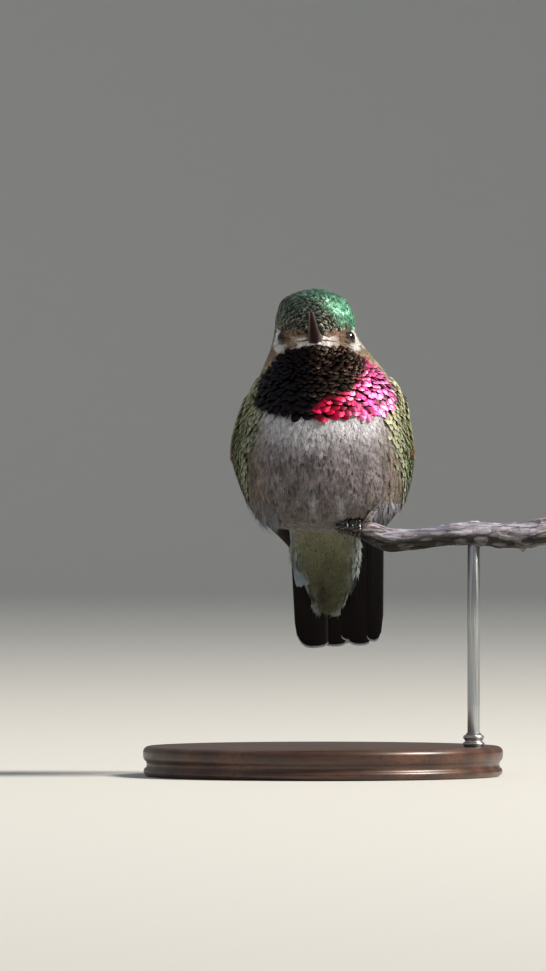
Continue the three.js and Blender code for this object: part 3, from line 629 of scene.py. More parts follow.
def face_colours(p):
    """Buff lores, a pinkish-white chin and eye-ring, and grey-brown cheeks that turn olive behind."""
    x, y, z = np.split(p, 3, -1)
    cheek = fade("7a6a52", "c2ac8b", smooth(z, 86.5, 82.5))
    cheek = fade(cheek, "565a3c", smooth(y, -0.5, 4.5))
    from_bill = norm(p - BILL_BASE)[:, None]
    colour = fade(cheek, "b08d70", smooth(from_bill, 7.5, 5.0))
    off = np.abs(x + 1.5)
    chin = smooth(z, 88.0, 87.6) * (0.35 + 0.65 * smooth(off, 4.0, 3.0)) * smooth(off, 5.4, 4.0)
    colour = fade(colour, "fbf2f0", chin)
    white = 0.0
    for name, centre in EYE_CENTRES.items():
        out, behind, over = np.split(p - centre, 3, -1)
        near = smooth(norm(p - centre)[:, None], 3.5, 2.9)
        below = smooth(over, -0.7, -1.3) * smooth(behind, -2.6, -1.6)
        crescent = near * np.maximum(smooth(behind - 0.4 * over, -0.6, 0.4), below)
        streak = smooth(np.abs(over + 0.35 * behind), 1.0, 0.3) * smooth(behind, 5.0, 2.0)
        streak = 0.6 * streak * (behind > 0) * (SIDES[name] * out > -3)
        white = np.maximum(white, np.maximum(crescent, streak))
    return fade(colour, "f3f1f2", white)


def breast_colours(p, a):
    """White collar, grey-mauve belly with dusky mottling, buff towards the flanks, and two pale tufts."""
    x, _, z = np.split(p, 3, -1)
    turned = np.abs(a)[:, None]
    high = z + 3.0 * np.cos(a)[:, None] + 0.8 * waves(p, 5.0, 9)[:, None]
    colour = fade(fade("a0969b", "827a77", smooth(z, 62, 52)), "f4f3fa", smooth(high, 66.5, 75.0))
    buff = smooth(turned, rad(36), rad(62)) * smooth(z, 78, 70)
    colour = fade(colour, "8f7d68", 0.8 * buff)
    mottle = smooth(waves(p, 5.0, 3)[:, None], 0.0, 1.0) * smooth(z, 70, 64)
    colour = fade(colour, "5d5b4b", 0.55 * mottle)
    # painted shade: greyer and darker at the vent, under the belly's curve
    colour = fade(colour, "7f7c74", 0.7 * smooth(z, 53.5, 50.5))
    tufts = sum(np.exp(-((x - at) / 0.75) ** 2 - ((z - 55.2) / 2.4) ** 2) for at in (-2.2, 3.4))
    return fade(colour, "d3d2d8", 0.75 * tufts * smooth(turned, rad(90), rad(60)))


def back_colours(p, a):
    """Bronze-green, browner and goldener on the flanks, mottled."""
    gold = smooth(np.abs(a)[:, None], rad(115), rad(70))
    mottle = smooth(waves(p, 2.2, 5)[:, None], 0.0, 0.9)
    return fade(fade("3f6b3a", "787c66", gold), "766a50", 0.6 * mottle)


def share_of_face(p, a):
    """1 on the face and 0 on the crown and nape, with a ragged edge between."""
    ragged = waves(p, 1.6, 11)
    over_brow = p[..., 2] - (88.7 + 0.10 * (p[..., 1] + 8)) + 0.45 * ragged
    back = np.interp(p[..., 2], [76, 80, 84, 88, 90], [92, 94, 100, 98, 92])
    behind = np.degrees(np.abs(a)) - back + 5 * ragged
    return smooth(over_brow, 0.7, -0.7) * smooth(behind, 9, -9)


def share_of_back(p, a):
    """1 on the back and flanks and 0 on the breast and belly, with a ragged edge between."""
    edge = np.interp(p[..., 2], [50, 58, 66, 74, 78, 82], [96, 76, 58, 54, 76, 86])
    return smooth(np.degrees(np.abs(a)) - edge + 6 * waves(p, 2.0, 12), -7, 7)


def region_of(p, a):
    """The region each point of the body is in. The crown takes in the nape, and the breast the belly."""
    turned, z = np.abs(a), p[..., 2]
    region = np.where(share_of_back(p, a) > 0.5, BACK, BREAST)
    head = (z > 79.5) | (in_gorget(p, a) > -2.5) & (z > 76)
    nape = (turned > rad(90)) & (z > 81 + waves(p, 2.0, 13))
    region = np.where(nape | (z > 87.5), CROWN, region)
    region = np.where(head & (share_of_face(p, a) > 0.5), FACE, region)
    return np.where((in_gorget(p, a) + 0.25 * waves(p, 1.5, 14) > 0) & (z < 88.5), GORGET, region)


def head_colours(p, a):
    """Crown and face, one running into the other."""
    return mix(crown_colours(p), face_colours(p), share_of_face(p, a)[:, None])


def trunk_colours(p, a):
    """Back and breast, one running into the other."""
    return mix(breast_colours(p, a), back_colours(p, a), share_of_back(p, a)[:, None])


def colours_with_painted_light(p, a):
    """The plumage's colour at each point of the body, with painted light and shade on crown, gorget and
    belly.
    """
    a = wrap(a)
    region = region_of(p, a)[:, None]
    found = np.where(region <= FACE, head_colours(p, a), trunk_colours(p, a))
    return np.where(region == GORGET, gorget_colours(p), found)


# ---------- where the feathers grow ----------
SHEETS = {  # corner and size of each form's own sheet in the skin's unwrap
    "body": (0.005, 0.34, 0.985, 0.65),
    "under": (0.005, 0.005, 0.235, 0.32),
    "over": (0.255, 0.005, 0.235, 0.32),
    "wing_left": (0.505, 0.005, 0.235, 0.32),
    "wing_right": (0.755, 0.005, 0.235, 0.32),
}
GROWING = (0.002, 0.998)  # the t between which feathers grow


def on_sheet(sheet, t, across):
    """A place on the skin's unwrap, from t and across, both 0 to 1 over one form."""
    u, v, width, height = SHEETS[sheet]
    return stack(u + width * across, v + height * t)


def sizes_along(surface, t):
    """Mean length of a surface's lines down and round it, at each t."""
    _, _, down, across = slopes(surface, *grid(t, round_angles(48)))
    return norm(down).mean(1), norm(across).mean(1) * TURN


def running_total(x, t):
    """The integral of x over t up to each t."""
    return np.concatenate([[0], np.cumsum((x[1:] + x[:-1]) / 2 * np.diff(t))])


def scattered(surface, gap):
    """Places gap(t) apart all over a surface: t from the area above, each a golden angle further round."""
    t = np.linspace(*GROWING, 300)
    down, round_it = sizes_along(surface, t)
    total = running_total(down * round_it / gap(t) ** 2, t)
    number = np.arange(int(total[-1])) + 0.5
    return np.interp(number, total, t), (number * GOLDEN_ANGLE) % TURN


def in_rows(surface, gap, stretch):
    """Places in level rows gap(t) apart, and stretch times that along a row. Every other row starts half a
    step on."""
    t = np.linspace(*GROWING, 300)
    down, round_it = sizes_along(surface, t)
    total = running_total(down / gap(t), t)
    row_t = np.interp(np.arange(int(total[-1])) + 0.5, total, t)
    counts = np.maximum(3, np.interp(row_t, t, round_it) / (gap(row_t) * stretch)).astype(int)
    row = np.repeat(np.arange(len(row_t)), counts)
    number = np.arange(counts.sum()) - np.repeat(np.cumsum(counts) - counts, counts)
    return row_t[row], (number + 0.5 * (row % 2)) / counts[row] * TURN


def lie_on_body(p, n, down):
    """The way the coat lies: back from the bill, then down the body, and parting round the eyes."""
    from_bill = unit(p - (BILL_BASE + np.array([0, 1.5, 0.3])))
    weight = 0.1 + 1.2 * smooth(p[:, 1:2], 0, 7) + 3.5 * smooth(p[:, 2:3], 84, 76)
    way = from_bill + weight * np.array([0, 0, -1.0])
    for centre in EYE_CENTRES.values():
        away = p - centre
        near = np.exp(-((norm(away)[:, None] / 2.6) ** 4))
        way = way + 0.5 * near * unit(away)
    return unit(way - dot(way, n) * n)


def lie_downwards(p, n, down):
    """Straight down the form."""
    return unit(down)


def bend(surface, t, a, p, n, slopes_here, way):
    """Curvature of a surface along a direction, from how far it drops within a millimetre."""
    down, across = slopes_here
    g11, g12, g22 = dot(down, down), dot(down, across), dot(across, across)
    b1, b2 = dot(way, down), dot(way, across)
    scale = np.maximum(g11 * g22 - g12**2, 1e-9)
    step_t = ((g22 * b1 - g12 * b2) / scale)[..., 0]
    step_a = ((g11 * b2 - g12 * b1) / scale)[..., 0]
    q = surface(np.clip(t + step_t, 0, 1), a + step_a)
    return np.clip(-2 * dot(q - p, n), -0.05, 0.13)


def grow(surface, sheet, where, keep=None, lie=lie_on_body, jitter=0.1, closed=True):
    """Feather roots at (t, a) on a surface, each moved by about jitter millimetres.

    Gives points, normals, lie, the bends along and across it, angles, places on the skin's unwrap and t.
    """
    t, a = where
    rng = np.random.default_rng(len(t))
    _, _, down, across = slopes(surface, t, a)
    t = t + rng.normal(0, jitter, len(t)) / norm(down)
    a = a + rng.normal(0, jitter, len(t)) / norm(across)
    t = np.clip(t, *GROWING)
    p, n, down, across = slopes(surface, t, a)
    if keep is not None:
        kept = keep(p, wrap(a))
        t, a, p, n, down, across = (v[kept] for v in (t, a, p, n, down, across))
    way = lie(p, n, down)
    side = np.cross(n, way)
    bends = [bend(surface, t, a, p, n, (down, across), d) for d in (way, side)]
    place = on_sheet(sheet, t, (a / TURN + 0.5) % 1 if closed else np.clip(a, 0, 1))
    return {"p": p, "n": n, "lie": way, "bends": bends, "a": wrap(a), "place": place, "t": t}


def chosen(at, kept):
    """Those feather roots of a set that are kept."""
    return {
        key: [v[kept] for v in value] if key == "bends" else value[kept]
        for key, value in at.items()
    }


# ---------- the shapes of the feathers ----------
SET_BACK = 0.35  # share of a feather's length that lies above its root, deep in the coat
HANG = 0.68  # about the share that hangs below it
PATCH = 0.003  # how much of the skin's unwrap a feather covers


def vane_shape(rows, columns, widths, rounding):
    """A whole vane on a grid. Its half width follows widths from root to tip, and its tip is drawn back at
    the sides by rounding times one less the height of a circle."""
    r, w = grid(np.linspace(0, 1, rows), np.linspace(-1, 1, columns))
    r, w = r.ravel(), w.ravel()
    along = r * (1 - rounding * (1 - np.sqrt(1 - 0.96 * w**2)) * r)
    across = w * np.interp(r, np.linspace(0, 1, len(widths)), widths)
    return {"r": r, "w": w, "along": along, "across": across, "faces": [grid_faces(rows, columns)]}


def split_shape(strands, split, width=0.9):
    """A soft feather: whole at its base, then split into strands, each a quad and a point."""
    edges = np.linspace(-1, 1, strands + 1)
    r, w = (g.ravel() for g in grid(np.array([0, 0.5, 1]) * split, edges))
    middles = (edges[1:] + edges[:-1]) / 2
    left = 2 * (strands + 1) + np.arange(strands)
    knee = len(r) + np.arange(strands)
    faces = [
        grid_faces(3, strands + 1),
        stack(left, knee, knee + strands, left + 1),
        stack(knee, knee + 2 * strands, knee + strands),
    ]
    across = w * np.interp(r, [0, split], [width / 2, width])
    half = 0.55 / strands
    across = np.concatenate([across, middles - half, middles + half, middles * 1.1])
    r = np.concatenate([r, np.full(2 * strands, mix(split, 1, 0.55)), np.ones(strands)])
    w = np.concatenate([w, middles - half, middles + half, middles])
    along = r * (1 - 0.28 * w**2 * r**2)
    return {"r": r, "w": w, "along": along, "across": across, "faces": faces}


SCALE = vane_shape(6, 7, [0.35, 0.75, 0.97, 1.0, 0.92, 0.74], 0.42)
BROAD = vane_shape(7, 9, [0.4, 0.8, 0.98, 1.0, 1.0, 0.96, 0.84], 0.3)
PLUME = vane_shape(9, 11, [0.3, 0.7, 0.92, 1.0, 1.0, 0.92, 0.7], 0.42)
SOFT = split_shape(5, 0.45)
WISPY = split_shape(8, 0.3)
LONG_SOFT = split_shape(9, 0.72)


def coat(name, at, shape, material, slot, tint, fringe, seed, length, half, depth, lift=0.0, camber=0.25,
         loose=0.1, ruffle=0.15, tone=0.1, base=None, by_place=None):
    """Feathers over the skin as one mesh.

    Each point of a vane is its root, plus its share of the length along the lie and of the half width
    across it, less the drop of the body's curve, and at a height that rises from -depth at the root to lift
    at the tip, less camber at the sides. loose turns each feather a little, ruffle varies its size and tone
    its colour. base is the colour of its hidden root: the darker feather base together with painted shade
    under the feathers that overlap it. by_place(points) gives colours that run on from feather to feather.
    """
    rng = np.random.default_rng(seed)
    r, across = shape["r"], shape["across"]
    count = len(at["p"])
    each, every = (count, 1), (count, len(r))
    length, half, depth, lift = (np.reshape(v, (-1, 1)) for v in (length, half, depth, lift))
    turn = rng.normal(0, loose, each)
    lie = at["lie"] * np.cos(turn) + np.cross(at["n"], at["lie"]) * np.sin(turn)
    side = np.cross(at["n"], lie)
    length = length * rng.uniform(1 - ruffle, 1 + ruffle, each)
    half = half * rng.uniform(1 - ruffle, 1 + ruffle, each)
    lift = lift + rng.normal(0, 0.06, each) * depth
    stray = 1 + (r > 0.99) * rng.normal(0, ruffle * 0.5, every) * (len(shape["faces"]) > 1)
    x = length * (shape["along"] * stray - SET_BACK)
    y = half * across
    height = -depth + (depth + lift) * (1 - (1 - r) ** 1.6) - camber * half * across ** 2
    height = height - at["bends"][0] * x**2 / 2 - at["bends"][1] * y**2 / 2
    points = sum(v[:, None] * k[..., None] for v, k in ((lie, x), (side, y), (at["n"], height)))
    points = (at["p"][:, None] + points).reshape(-1, 3)
    shift = (np.arange(count) * len(r))[:, None, None]
    faces = [(f[None] + shift).reshape(-1, f.shape[1]) for f in shape["faces"]]
    vane = stack(np.tile(shape["w"] / 2 + 0.5, count), np.tile(r, count))
    patch = PATCH * stack(shape["w"] / 2, r - 0.5)
    bake = (at["place"][:, None] + patch).reshape(-1, 2)
    shade = rng.normal(1, tone, (count, 1, 1))
    tints, rims = (np.broadcast_to(c[:, None] * shade, (*every, 3)) for c in (tint, fringe))
    if by_place:
        tints = mix(tints, by_place(points).reshape(tints.shape), 0.75)
    # the hidden root darkens towards base: the feather's own darker base with painted shade from those over
    # it
    if base:
        tints = fade(tints, base, smooth(r, 0.8, 0.45)[:, None])
    colours = {"tint": tints.reshape(-1, 3), "fringe": rims.reshape(-1, 3)}
    piece(name, points, faces, material, slot, uvs={"OFBake": bake, "Vane": vane}, colours=colours)


# ---------- the skin ----------
def near_bill(p):
    """Distance of each point from the bill's own line."""
    away = p - BILL_BASE
    return norm(away - dot(away, BILL_WAY) * BILL_WAY)


def open_face(p):
    """Where feathers can grow: clear of the eyes, and of the bill where it comes out of the face."""
    return (eye_distance(p) > 1.45) & ((near_bill(p) > 1.3) | (p[:, 1] > -8))


def under_wing(p, a):
    """Where the folded wing lies over the body, a little inside its edges."""
    _, front, rear = np.moveaxis(at_height(WING_EDGES, np.clip(p[:, 2], WING_TIP, WING_TOP)), -1, 0)
    share = (np.degrees(np.abs(a)) - front) / (rear - front)
    return (share > 0.08) & (share < 0.92) & (p[:, 2] < shoulder_top(share) - 1.0)


def by_height(*pairs):
    """A gap along the body from (height, gap) pairs, highest first."""
    heights, gaps = np.array(pairs, float).T
    return lambda t: np.interp(-body(t, 0 * t)[..., 2], -heights, gaps)


def roots_in(region, where, jitter=0.1):
    """Feather roots on the body in one region of its markings, outside the wings."""
    def keep(p, a):
        return (region_of(p, a) == region) & open_face(p) & ~under_wing(p, a)
    return grow(body, "body", where, keep, jitter=jitter)


def skin_shell(surface, sheet, depth, t_span, rows, columns):
    """A form drawn in by depth(p, t), closed, with its unwrap, and how wide the unwrap is."""
    t, a = grid(np.linspace(*t_span, rows), round_angles(columns))
    p, n, _, _ = slopes(surface, t, a)
    points, faces = closed_tube(p - n * depth(p, t)[..., None])
    place = on_sheet(sheet, t, (a / TURN + 0.5) % 1).reshape(-1, 2)
    angles = np.concatenate([a.ravel(), [0, 0]])
    return points, faces, np.concatenate([place, place[[columns // 2, -1]]]), angles, SHEETS[sheet][2]


def corner_places(faces, place, width):
    """The unwrap at each corner, where faces that cross its seam go on past its edge."""
    corners = [place[f] for f in faces]
    for c in corners:
        c[..., 0] += width * (c[..., 0].max(1, keepdims=True) - c[..., 0] > width / 2)
    return np.concatenate([c.reshape(-1, 2) for c in corners])


def skin():
    """One skin: the body drawn in by the coat's depth, the cores of both tongues of coverts, the arms."""
    def core(table):
        return lambda p, t: np.minimum(0.9, 0.45 * stations(table, t * (len(table) - 1))[..., 4])
    shells = [
        skin_shell(body, "body", lambda p, t: coat_depth(p), (0.004, 0.996), rows=150, columns=120),
        skin_shell(tongue(UNDER_COVERTS), "under", core(UNDER_COVERTS), (0.02, 0.88), rows=30, columns=32),
        skin_shell(tongue(OVER_COVERTS), "over", core(OVER_COVERTS), (0.02, 0.88), rows=24, columns=32),
    ]
    places = np.concatenate([corner_places(faces, place, width) for _, faces, place, _, width in shells])
    points, faces = joined([shell[:2] for shell in shells])
    tint = colours_with_painted_light(points, np.concatenate([shell[3] for shell in shells]))
    arms, arm_faces, arm_places, arm_tint = arms_of_skin()
    places = np.concatenate([places, arm_places])
    points, faces = joined([(points, faces), (arms, arm_faces)])
    flesh = [
        "head", "gorget", "nape", "breast", "belly", "back", "rump", "undertail_coverts",
        "uppertail_coverts", "wing_left_shoulder", "wing_right_shoulder",
    ]
    piece("bird_skin", points, faces, SKIN, "grey_feathers", flesh, {"OFBake": places},
          {"tint": np.concatenate([tint, arm_tint])})


def arms_of_skin():
    """The fleshy part of each folded wing: a thin closed pad under its coverts."""
    t, s = grid(np.linspace(0.03, 0.97, 24), np.linspace(0.04, 0.96, 16))
    outer, inner, places = [], [], []
    for name, side in SIDES.items():
        p, n, _, _ = slopes(shoulder(side), t, s)
        outer.append(p - n * 0.45)
        inner.append(p - n * (0.55 + 0.5 * np.sin(math.pi * s)[..., None]))
        places.append(np.tile(on_sheet(f"wing_{name}", t, s).reshape(-1, 2), (2, 1)))
    points, faces = slabs(np.stack(outer), np.stack(inner))
    place = np.concatenate(places)
    return points, faces, place[faces[0]].reshape(-1, 2), np.tile(linear("3d4a2e"), (len(points), 1))


# ---------- body feathers ----------
def crown_feathers():
    """Small scales on the crown, and wider ones behind."""
    gap = by_height((97.4, 0.46), (90, 0.38), (86, 0.44), (80, 0.75), (70, 0.85))
    at = roots_in(CROWN, in_rows(body, gap, 1.75), jitter=0.12)
    p, count = at["p"], len(at["p"])
    near = smooth(norm(p - BILL_BASE), 2, 9)
    rear = smooth(p[:, 1], 1, 9)
    tint = head_colours(p, at["a"])
    green = smooth(tint[:, 1:2] / tint.sum(1, keepdims=True), 0.42, 0.62)
    # a few green scales turned pale mint: painted glints
    tint = fade(tint, "8cc4ad", 0.55 * draws(20, count) ** 3 * green * (1 - rear[:, None]))
    clean = np.maximum(green, share_of_face(p, at["a"])[:, None])
    fringe = fade("949586", tint * 1.5 + 0.02, clean)
    fringe = mix(tint, fringe, np.random.default_rng(19).uniform(0.15, 1, (count, 1)))
    length = mix(1.5, 1.9, near) + 0.8 * rear
    half = mix(0.38, 0.6, near) + 0.25 * rear
    coat("crown_feathers", at, BROAD, CROWN_SCALES, "crown_feathers", tint, fringe, seed=21,
         length=length, half=half, depth=0.8 * HEAD_COAT, lift=0.04, tone=0.28, loose=0.18, base="060a08")


def face_feathers():
    """Fine soft feathers, shortest round the bill and the eyes. Those ahead of an eye rise over its lid."""
    at = roots_in(FACE, scattered(body, by_height((95, 0.4), (84, 0.45), (78, 0.62))))
    p, count = at["p"], len(at["p"])
    near = np.minimum(norm(p - BILL_BASE) - 1, eye_distance(p) - 1.5)
    near = smooth(near, 0.2, 5)
    tint = head_colours(p, at["a"])
    speck = draws(18, count) ** 3 * smooth(tint[:, 2:3], 0.7, 0.4)
    tint = fade(tint, "43362e", 0.85 * speck)
    ahead = EYE_CENTRES["left"][1] - p[:, 1]
    over_lid = smooth(eye_distance(p), 2.7, 1.8) * smooth(ahead, 0.2, 1.0)
    length = mix(0.9, 2.1, near) + 0.6 * over_lid
    coat("face_feathers", at, SOFT, DOWN, "grey_feathers", tint, tint * 1.12, seed=22, length=length,
         half=mix(0.24, 0.48, near), depth=mix(0.35, 0.8, near), lift=0.1 + 0.5 * over_lid, loose=0.25,
         tone=0.16)


def gorget_feathers():
    """Hard broad scales in rows, small under the bill and two millimetres wide at the lower edge."""
    gap = by_height((87, 0.42), (84, 0.5), (80, 0.7), (76, 0.95), (71, 1.1))
    at = roots_in(GORGET, in_rows(body, gap, 1.7), jitter=0.16)
    p, count = at["p"], len(at["p"])
    size = np.interp(-p[:, 2], [-87, -84, -80, -76, -72], [0.42, 0.5, 0.7, 0.95, 1.08])
    tint = gorget_colours(p)
    # painted light: scales on the lit side get pale pink painted glints and edges as bright as their tint
    on_painted_lit_side = smooth(tint[:, :1], 0.15, 0.5)
    pale = draws(17, count) ** 2
    tint = fade(tint, "ffbbe0", 0.5 * pale * on_painted_lit_side * smooth(p[:, :1], 2, 9))
    fringe = mix(linear("64503f") * mix(0.25, 1.0, pale), tint * 1.1, on_painted_lit_side)
    # painted shade: on the bird's right the edges are as dark as the scales
    fringe = mix(fringe, tint * 1.2, smooth(p[:, :1], 0, -4.5))
    coat("gorget_feathers", at, BROAD, GORGET_SCALES, "gorget_feathers", tint, fringe, seed=23,
         length=2.9 * size, half=1.2 * size, depth=0.9, lift=0.26, camber=0.33, loose=0.3, tone=0.4,
         ruffle=0.16, base="0b0306")


def over_foot(p):
    """1 where a feather would hang over the toes, and 0 elsewhere."""
    middle, r = twig_at(p[:, 0])
    near = norm((p - middle)[:, 1:]) - r
    return smooth(near, 3.2, 2.2) * smooth(np.abs(p[:, 0] - 4.9), 3.4, 2.6) * smooth(p[:, 1], 0, -2)


def breast_feathers():
    """Soft split feathers, white on the collar and grey-mauve with darker streaks on the belly."""
    gap = by_height((80, 0.6), (70, 0.6), (60, 0.62), (50, 0.65))
    at = roots_in(BREAST, scattered(body, gap))
    upper = at["p"][:, 2] > 64.5
    for name, slot, seed, material, base, kept in (
        ("collar_feathers", "white_feathers", 24, WHITE_DOWN, "6f6a6b", upper),
        ("belly_feathers", "grey_feathers", 25, DOWN, "3f3a3a", ~upper),
    ):
        part = chosen(at, kept)
        luck = draws(seed, len(part["p"]))
        clear = luck[:, 0] < 1.0 - 0.9 * over_foot(part["p"])
        part, luck = chosen(part, clear), luck[clear]
        p = part["p"]
        streak = mix(1.0, 1.12 - 0.85 * luck**3, smooth(p[:, 2:3], 72, 66))
        tint = trunk_colours(p, part["a"]) * streak
        coat(name, part, SOFT, material, slot, tint, tint * 1.1, seed=seed, length=3.6, half=0.5,
             depth=1.5, loose=0.13, ruffle=0.22, base=base)


def shoulder_buff(p):
    """How far feathers are pale buff: under the cheek, on the front of the shoulder."""
    return smooth(p[:, 2:3], 68, 75) * smooth(p[:, 2:3], 84, 80) * smooth(p[:, 1:2], 6, 2)


def scale_colours(p, a, seed):
    """Colours and edges of the back's scales: some of those on the flanks get pale green painted glints."""
    turned = np.abs(a)[:, None]
    flank = smooth(turned, rad(120), rad(90))
    # painted glints: pale green on scales picked at random on the flanks
    tint = fade(trunk_colours(p, a), "8fae84", 0.5 * draws(seed, len(p)) ** 2 * flank)
    pale = smooth(p[:, 2:3], 60, 68) * smooth(turned, rad(98), rad(76))
    tint = np.minimum(fade(tint, "85896f", 0.6 * pale), linear("a4b48c"))
    tint = fade(tint, SHOULDER_BUFF, 0.5 * shoulder_buff(p))
    return tint, fade("877a60", tint * 1.25, 0.5 + 0.4 * flank)


def back_feathers():
    """Bronze-green scales in rows down the nape, the back and the flanks."""
    gap = by_height((86, 0.85), (78, 1.0), (60, 1.2), (50, 1.1))
    at = roots_in(BACK, in_rows(body, gap, 1.05))
    tint, fringe = scale_colours(at["p"], at["a"], 29)
    coat("back_feathers", at, SCALE, BACK_SCALES, "back_feathers", tint, fringe, seed=26, length=3.1,
         half=0.95, depth=1.2, lift=0.08, loose=0.14, tone=0.18, base="454031")


def tongue_middle(z):
    """Where the middle of the long coverts lies at height z."""
    return np.interp(z, [31, 36, 39, 43, 50], [0.9, 1.3, 1.3, 0.7, 0.0])


def tongue_colours(p):
    """Long coverts: dusky olive down the middle, a browner patch near the tip, and paler at the sides."""
    x, _, z = np.split(p, 3, -1)
    x = x - tongue_middle(z)
    half = np.interp(z, [31, 33, 36, 39, 44, 50], [1.4, 2.8, 4.0, 5.3, 6.7, 7.2])
    rim = np.abs(x) / half + 1.1 * smooth(z, 33.4, 31.0) + 0.12 * waves(p, 2.5, 15)[:, None]
    olive = fade("585c40", "787a60", smooth(z, 42, 49))
    patch = np.exp(-((x + 1.2) / 1.7) ** 2 - ((z - 36.5) / 3.0) ** 2)
    mottle = smooth(waves(p, 3.5, 15)[:, None], 0.1, 0.9)
    return fade(fade(olive, "2f2a16", 0.85 * patch + 0.3 * mottle), "7c8685", smooth(rim, 0.66, 1.05))


def undertail_feathers():
    """The long soft feathers under the tail's root. The lowest end along one round edge."""
    surface = tongue(UNDER_COVERTS)
    def in_front(p, a):
        return (np.abs(a) < rad(104)) & (p[:, 1] < tail_y(p[:, 2]) - 0.6) & (p[:, 2] > 32.6)
    at = grow(surface, "under", in_rows(surface, lambda t: 1.5, 1.2), in_front, lie_downwards, jitter=0.3)
    p = at["p"]
    low = smooth(p[:, 2], 42, 34)
    tint = tongue_colours(p)
    round_end = 29.4 + 0.22 * (p[:, 0] - tongue_middle(p[:, 2])) ** 2
    length = np.clip((p[:, 2] - round_end) / HANG, 2.4, mix(7.0, 3.8, low))
    half = mix(1.3, 1.0, low)
    coat("undertail_feathers", at, LONG_SOFT, COVERTS, "white_feathers", tint, tint * 1.08, seed=27,
         length=length, half=half, depth=0.7, lift=0.03, camber=0.15, tone=0.07, ruffle=0.28,
         by_place=tongue_colours)


def undertail_lobe():
    """A lobe of blue-grey coverts that hangs beside the others, on the bird's right."""
    count, rows = 18, (47.0, 45.2, 43.6)
    x = np.tile(np.linspace(-5.2, -3.1, count // len(rows)), len(rows))
    z = np.repeat(rows, count // len(rows))
    slope = tail_y(z - 0.5) - tail_y(z + 0.5)
    where = np.full(count, 0.3), rad(np.linspace(-85, -40, count))
    at = grow(tongue(UNDER_COVERTS), "under", where, None, lie_downwards)
    at["p"] = stack(x, tail_y(z) - 3.2, z)
    at["lie"] = unit(stack(0.03, slope, -1))
    at["n"] = unit(stack(-0.25, -1, -slope))
    at["bends"] = [np.zeros((count, 1))] * 2
    tint, fringe = (np.tile(linear(c), (count, 1)) for c in ("6c7986", "8794a1"))
    coat("undertail_lobe", at, PLUME, COVERTS, "white_feathers", tint, fringe, seed=42, length=9.8,
         half=1.1, depth=0.3, lift=0.1, camber=0.2, loose=0.03, ruffle=0.04)


def uppertail_feathers():
    """The green scales over the tail's root."""
    surface = tongue(OVER_COVERTS)
    def behind(p, a):
        return (np.abs(a) > rad(70)) & (p[:, 1] > tail_y(p[:, 2]) + 0.3)
    at = grow(surface, "over", in_rows(surface, lambda t: 1.3, 1.1), behind, lie_downwards, jitter=0.15)
    tint, fringe = scale_colours(at["p"], at["a"], 30)
    coat("uppertail_feathers", at, SCALE, BACK_SCALES, "back_feathers", tint, fringe, seed=28, length=3.8,
         half=1.3, depth=0.7, lift=0.06, base="454031")


def lapping_feathers(name, side, rng):
    """Flank feathers that lap over a wing's front edge: scales above, soft ones below."""
    z = np.repeat(np.linspace(78.6, 50.5, 62), 8)
    front = at_height(WING_EDGES, np.minimum(z, WING_TOP))[:, 1]
    a = side * rad(front - rng.uniform(-4, 16, len(z)))
    at = grow(body, "body", (t_of(z + rng.normal(0, 0.4, len(z)), a), a))
    at["lie"] = unit(at["lie"] + 0.35 * np.cross(at["n"], at["lie"]) * side)
    height = at["p"][:, 2]
    edge = np.interp(height, [50, 62, 78], [112, 82, 70])
    over_edge = smooth(np.degrees(np.abs(at["a"])) - edge, -6, 8)
    at["lift"] = over_edge * np.interp(height, [50, 58, 72, 78, 80], [0.6, 0.95, 0.8, 0.9, 0.7])
    upper = height > 60.5 + rng.normal(0, 2.0, len(z))
    part = chosen(at, upper)
    tint, fringe = scale_colours(part["p"], np.maximum(np.abs(part["a"]), rad(80)), 33)
    coat(f"side_scales_{name}", part, SCALE, BACK_SCALES, "back_feathers", tint, fringe, seed=32 + side,
         length=2.6, half=0.78, depth=0.9, lift=part["lift"], loose=0.2, ruffle=0.2, tone=0.15,
         base="57513f")
    part = chosen(at, ~upper)
    tint = fade("7d756c", "a4a6ae", rng.uniform(0, 1, (len(part["p"]), 1)))
    coat(f"side_tufts_{name}", part, WISPY, DOWN, "grey_feathers", tint, tint * 1.1, seed=35 + side,
         length=4.0, half=0.6, depth=0.9, lift=part["lift"], loose=0.25, ruffle=0.3, tone=0.15,
         base="4b4446")


def loose_wisps(name, side, rng):
    """Wisps that hang off a thigh, and on the bird's right off the shoulder too."""
    turned, height = rng.uniform(42, 100, 120), rng.uniform(50.6, 55.5, 120)
    if name == "right":
        turned = np.concatenate([turned, rng.uniform(74, 96, 30)])
        height = np.concatenate([height, rng.uniform(69, 78, 30)])
    a = side * rad(turned)
    at = grow(body, "body", (t_of(height, a), a))
    at["lie"] = unit(at["lie"] + np.array([0, 0, -0.6]) + 0.4 * at["n"])
    tint = fade("9aa4bc", "716c68", rng.uniform(0, 1, (len(a), 1)) ** 0.6)
    length = 3.6 + 1.8 * smooth(-at["p"][:, 2], -53, -51)
    coat(f"loose_wisps_{name}", at, WISPY, DOWN, "white_feathers", tint, tint * 1.1, seed=38 + side,
         length=length, half=0.34, depth=1.3, lift=0.1, loose=0.3, ruffle=0.3)


# ---------- wings ----------
SHAFT_AT = 0.31  # share of a flight feather's width that lies ahead of its shaft
VANE_COLUMNS = np.array([0, 0.06, 0.16, 0.25, 0.29, SHAFT_AT, 0.33, 0.37, 0.5, 0.7, 0.88, 1.0])
HALF_VANE = 0.06  # half the thickness of a flight feather
LONG_TIPS = (33.0, 50.0)  # heights of the first and the last primary's tip


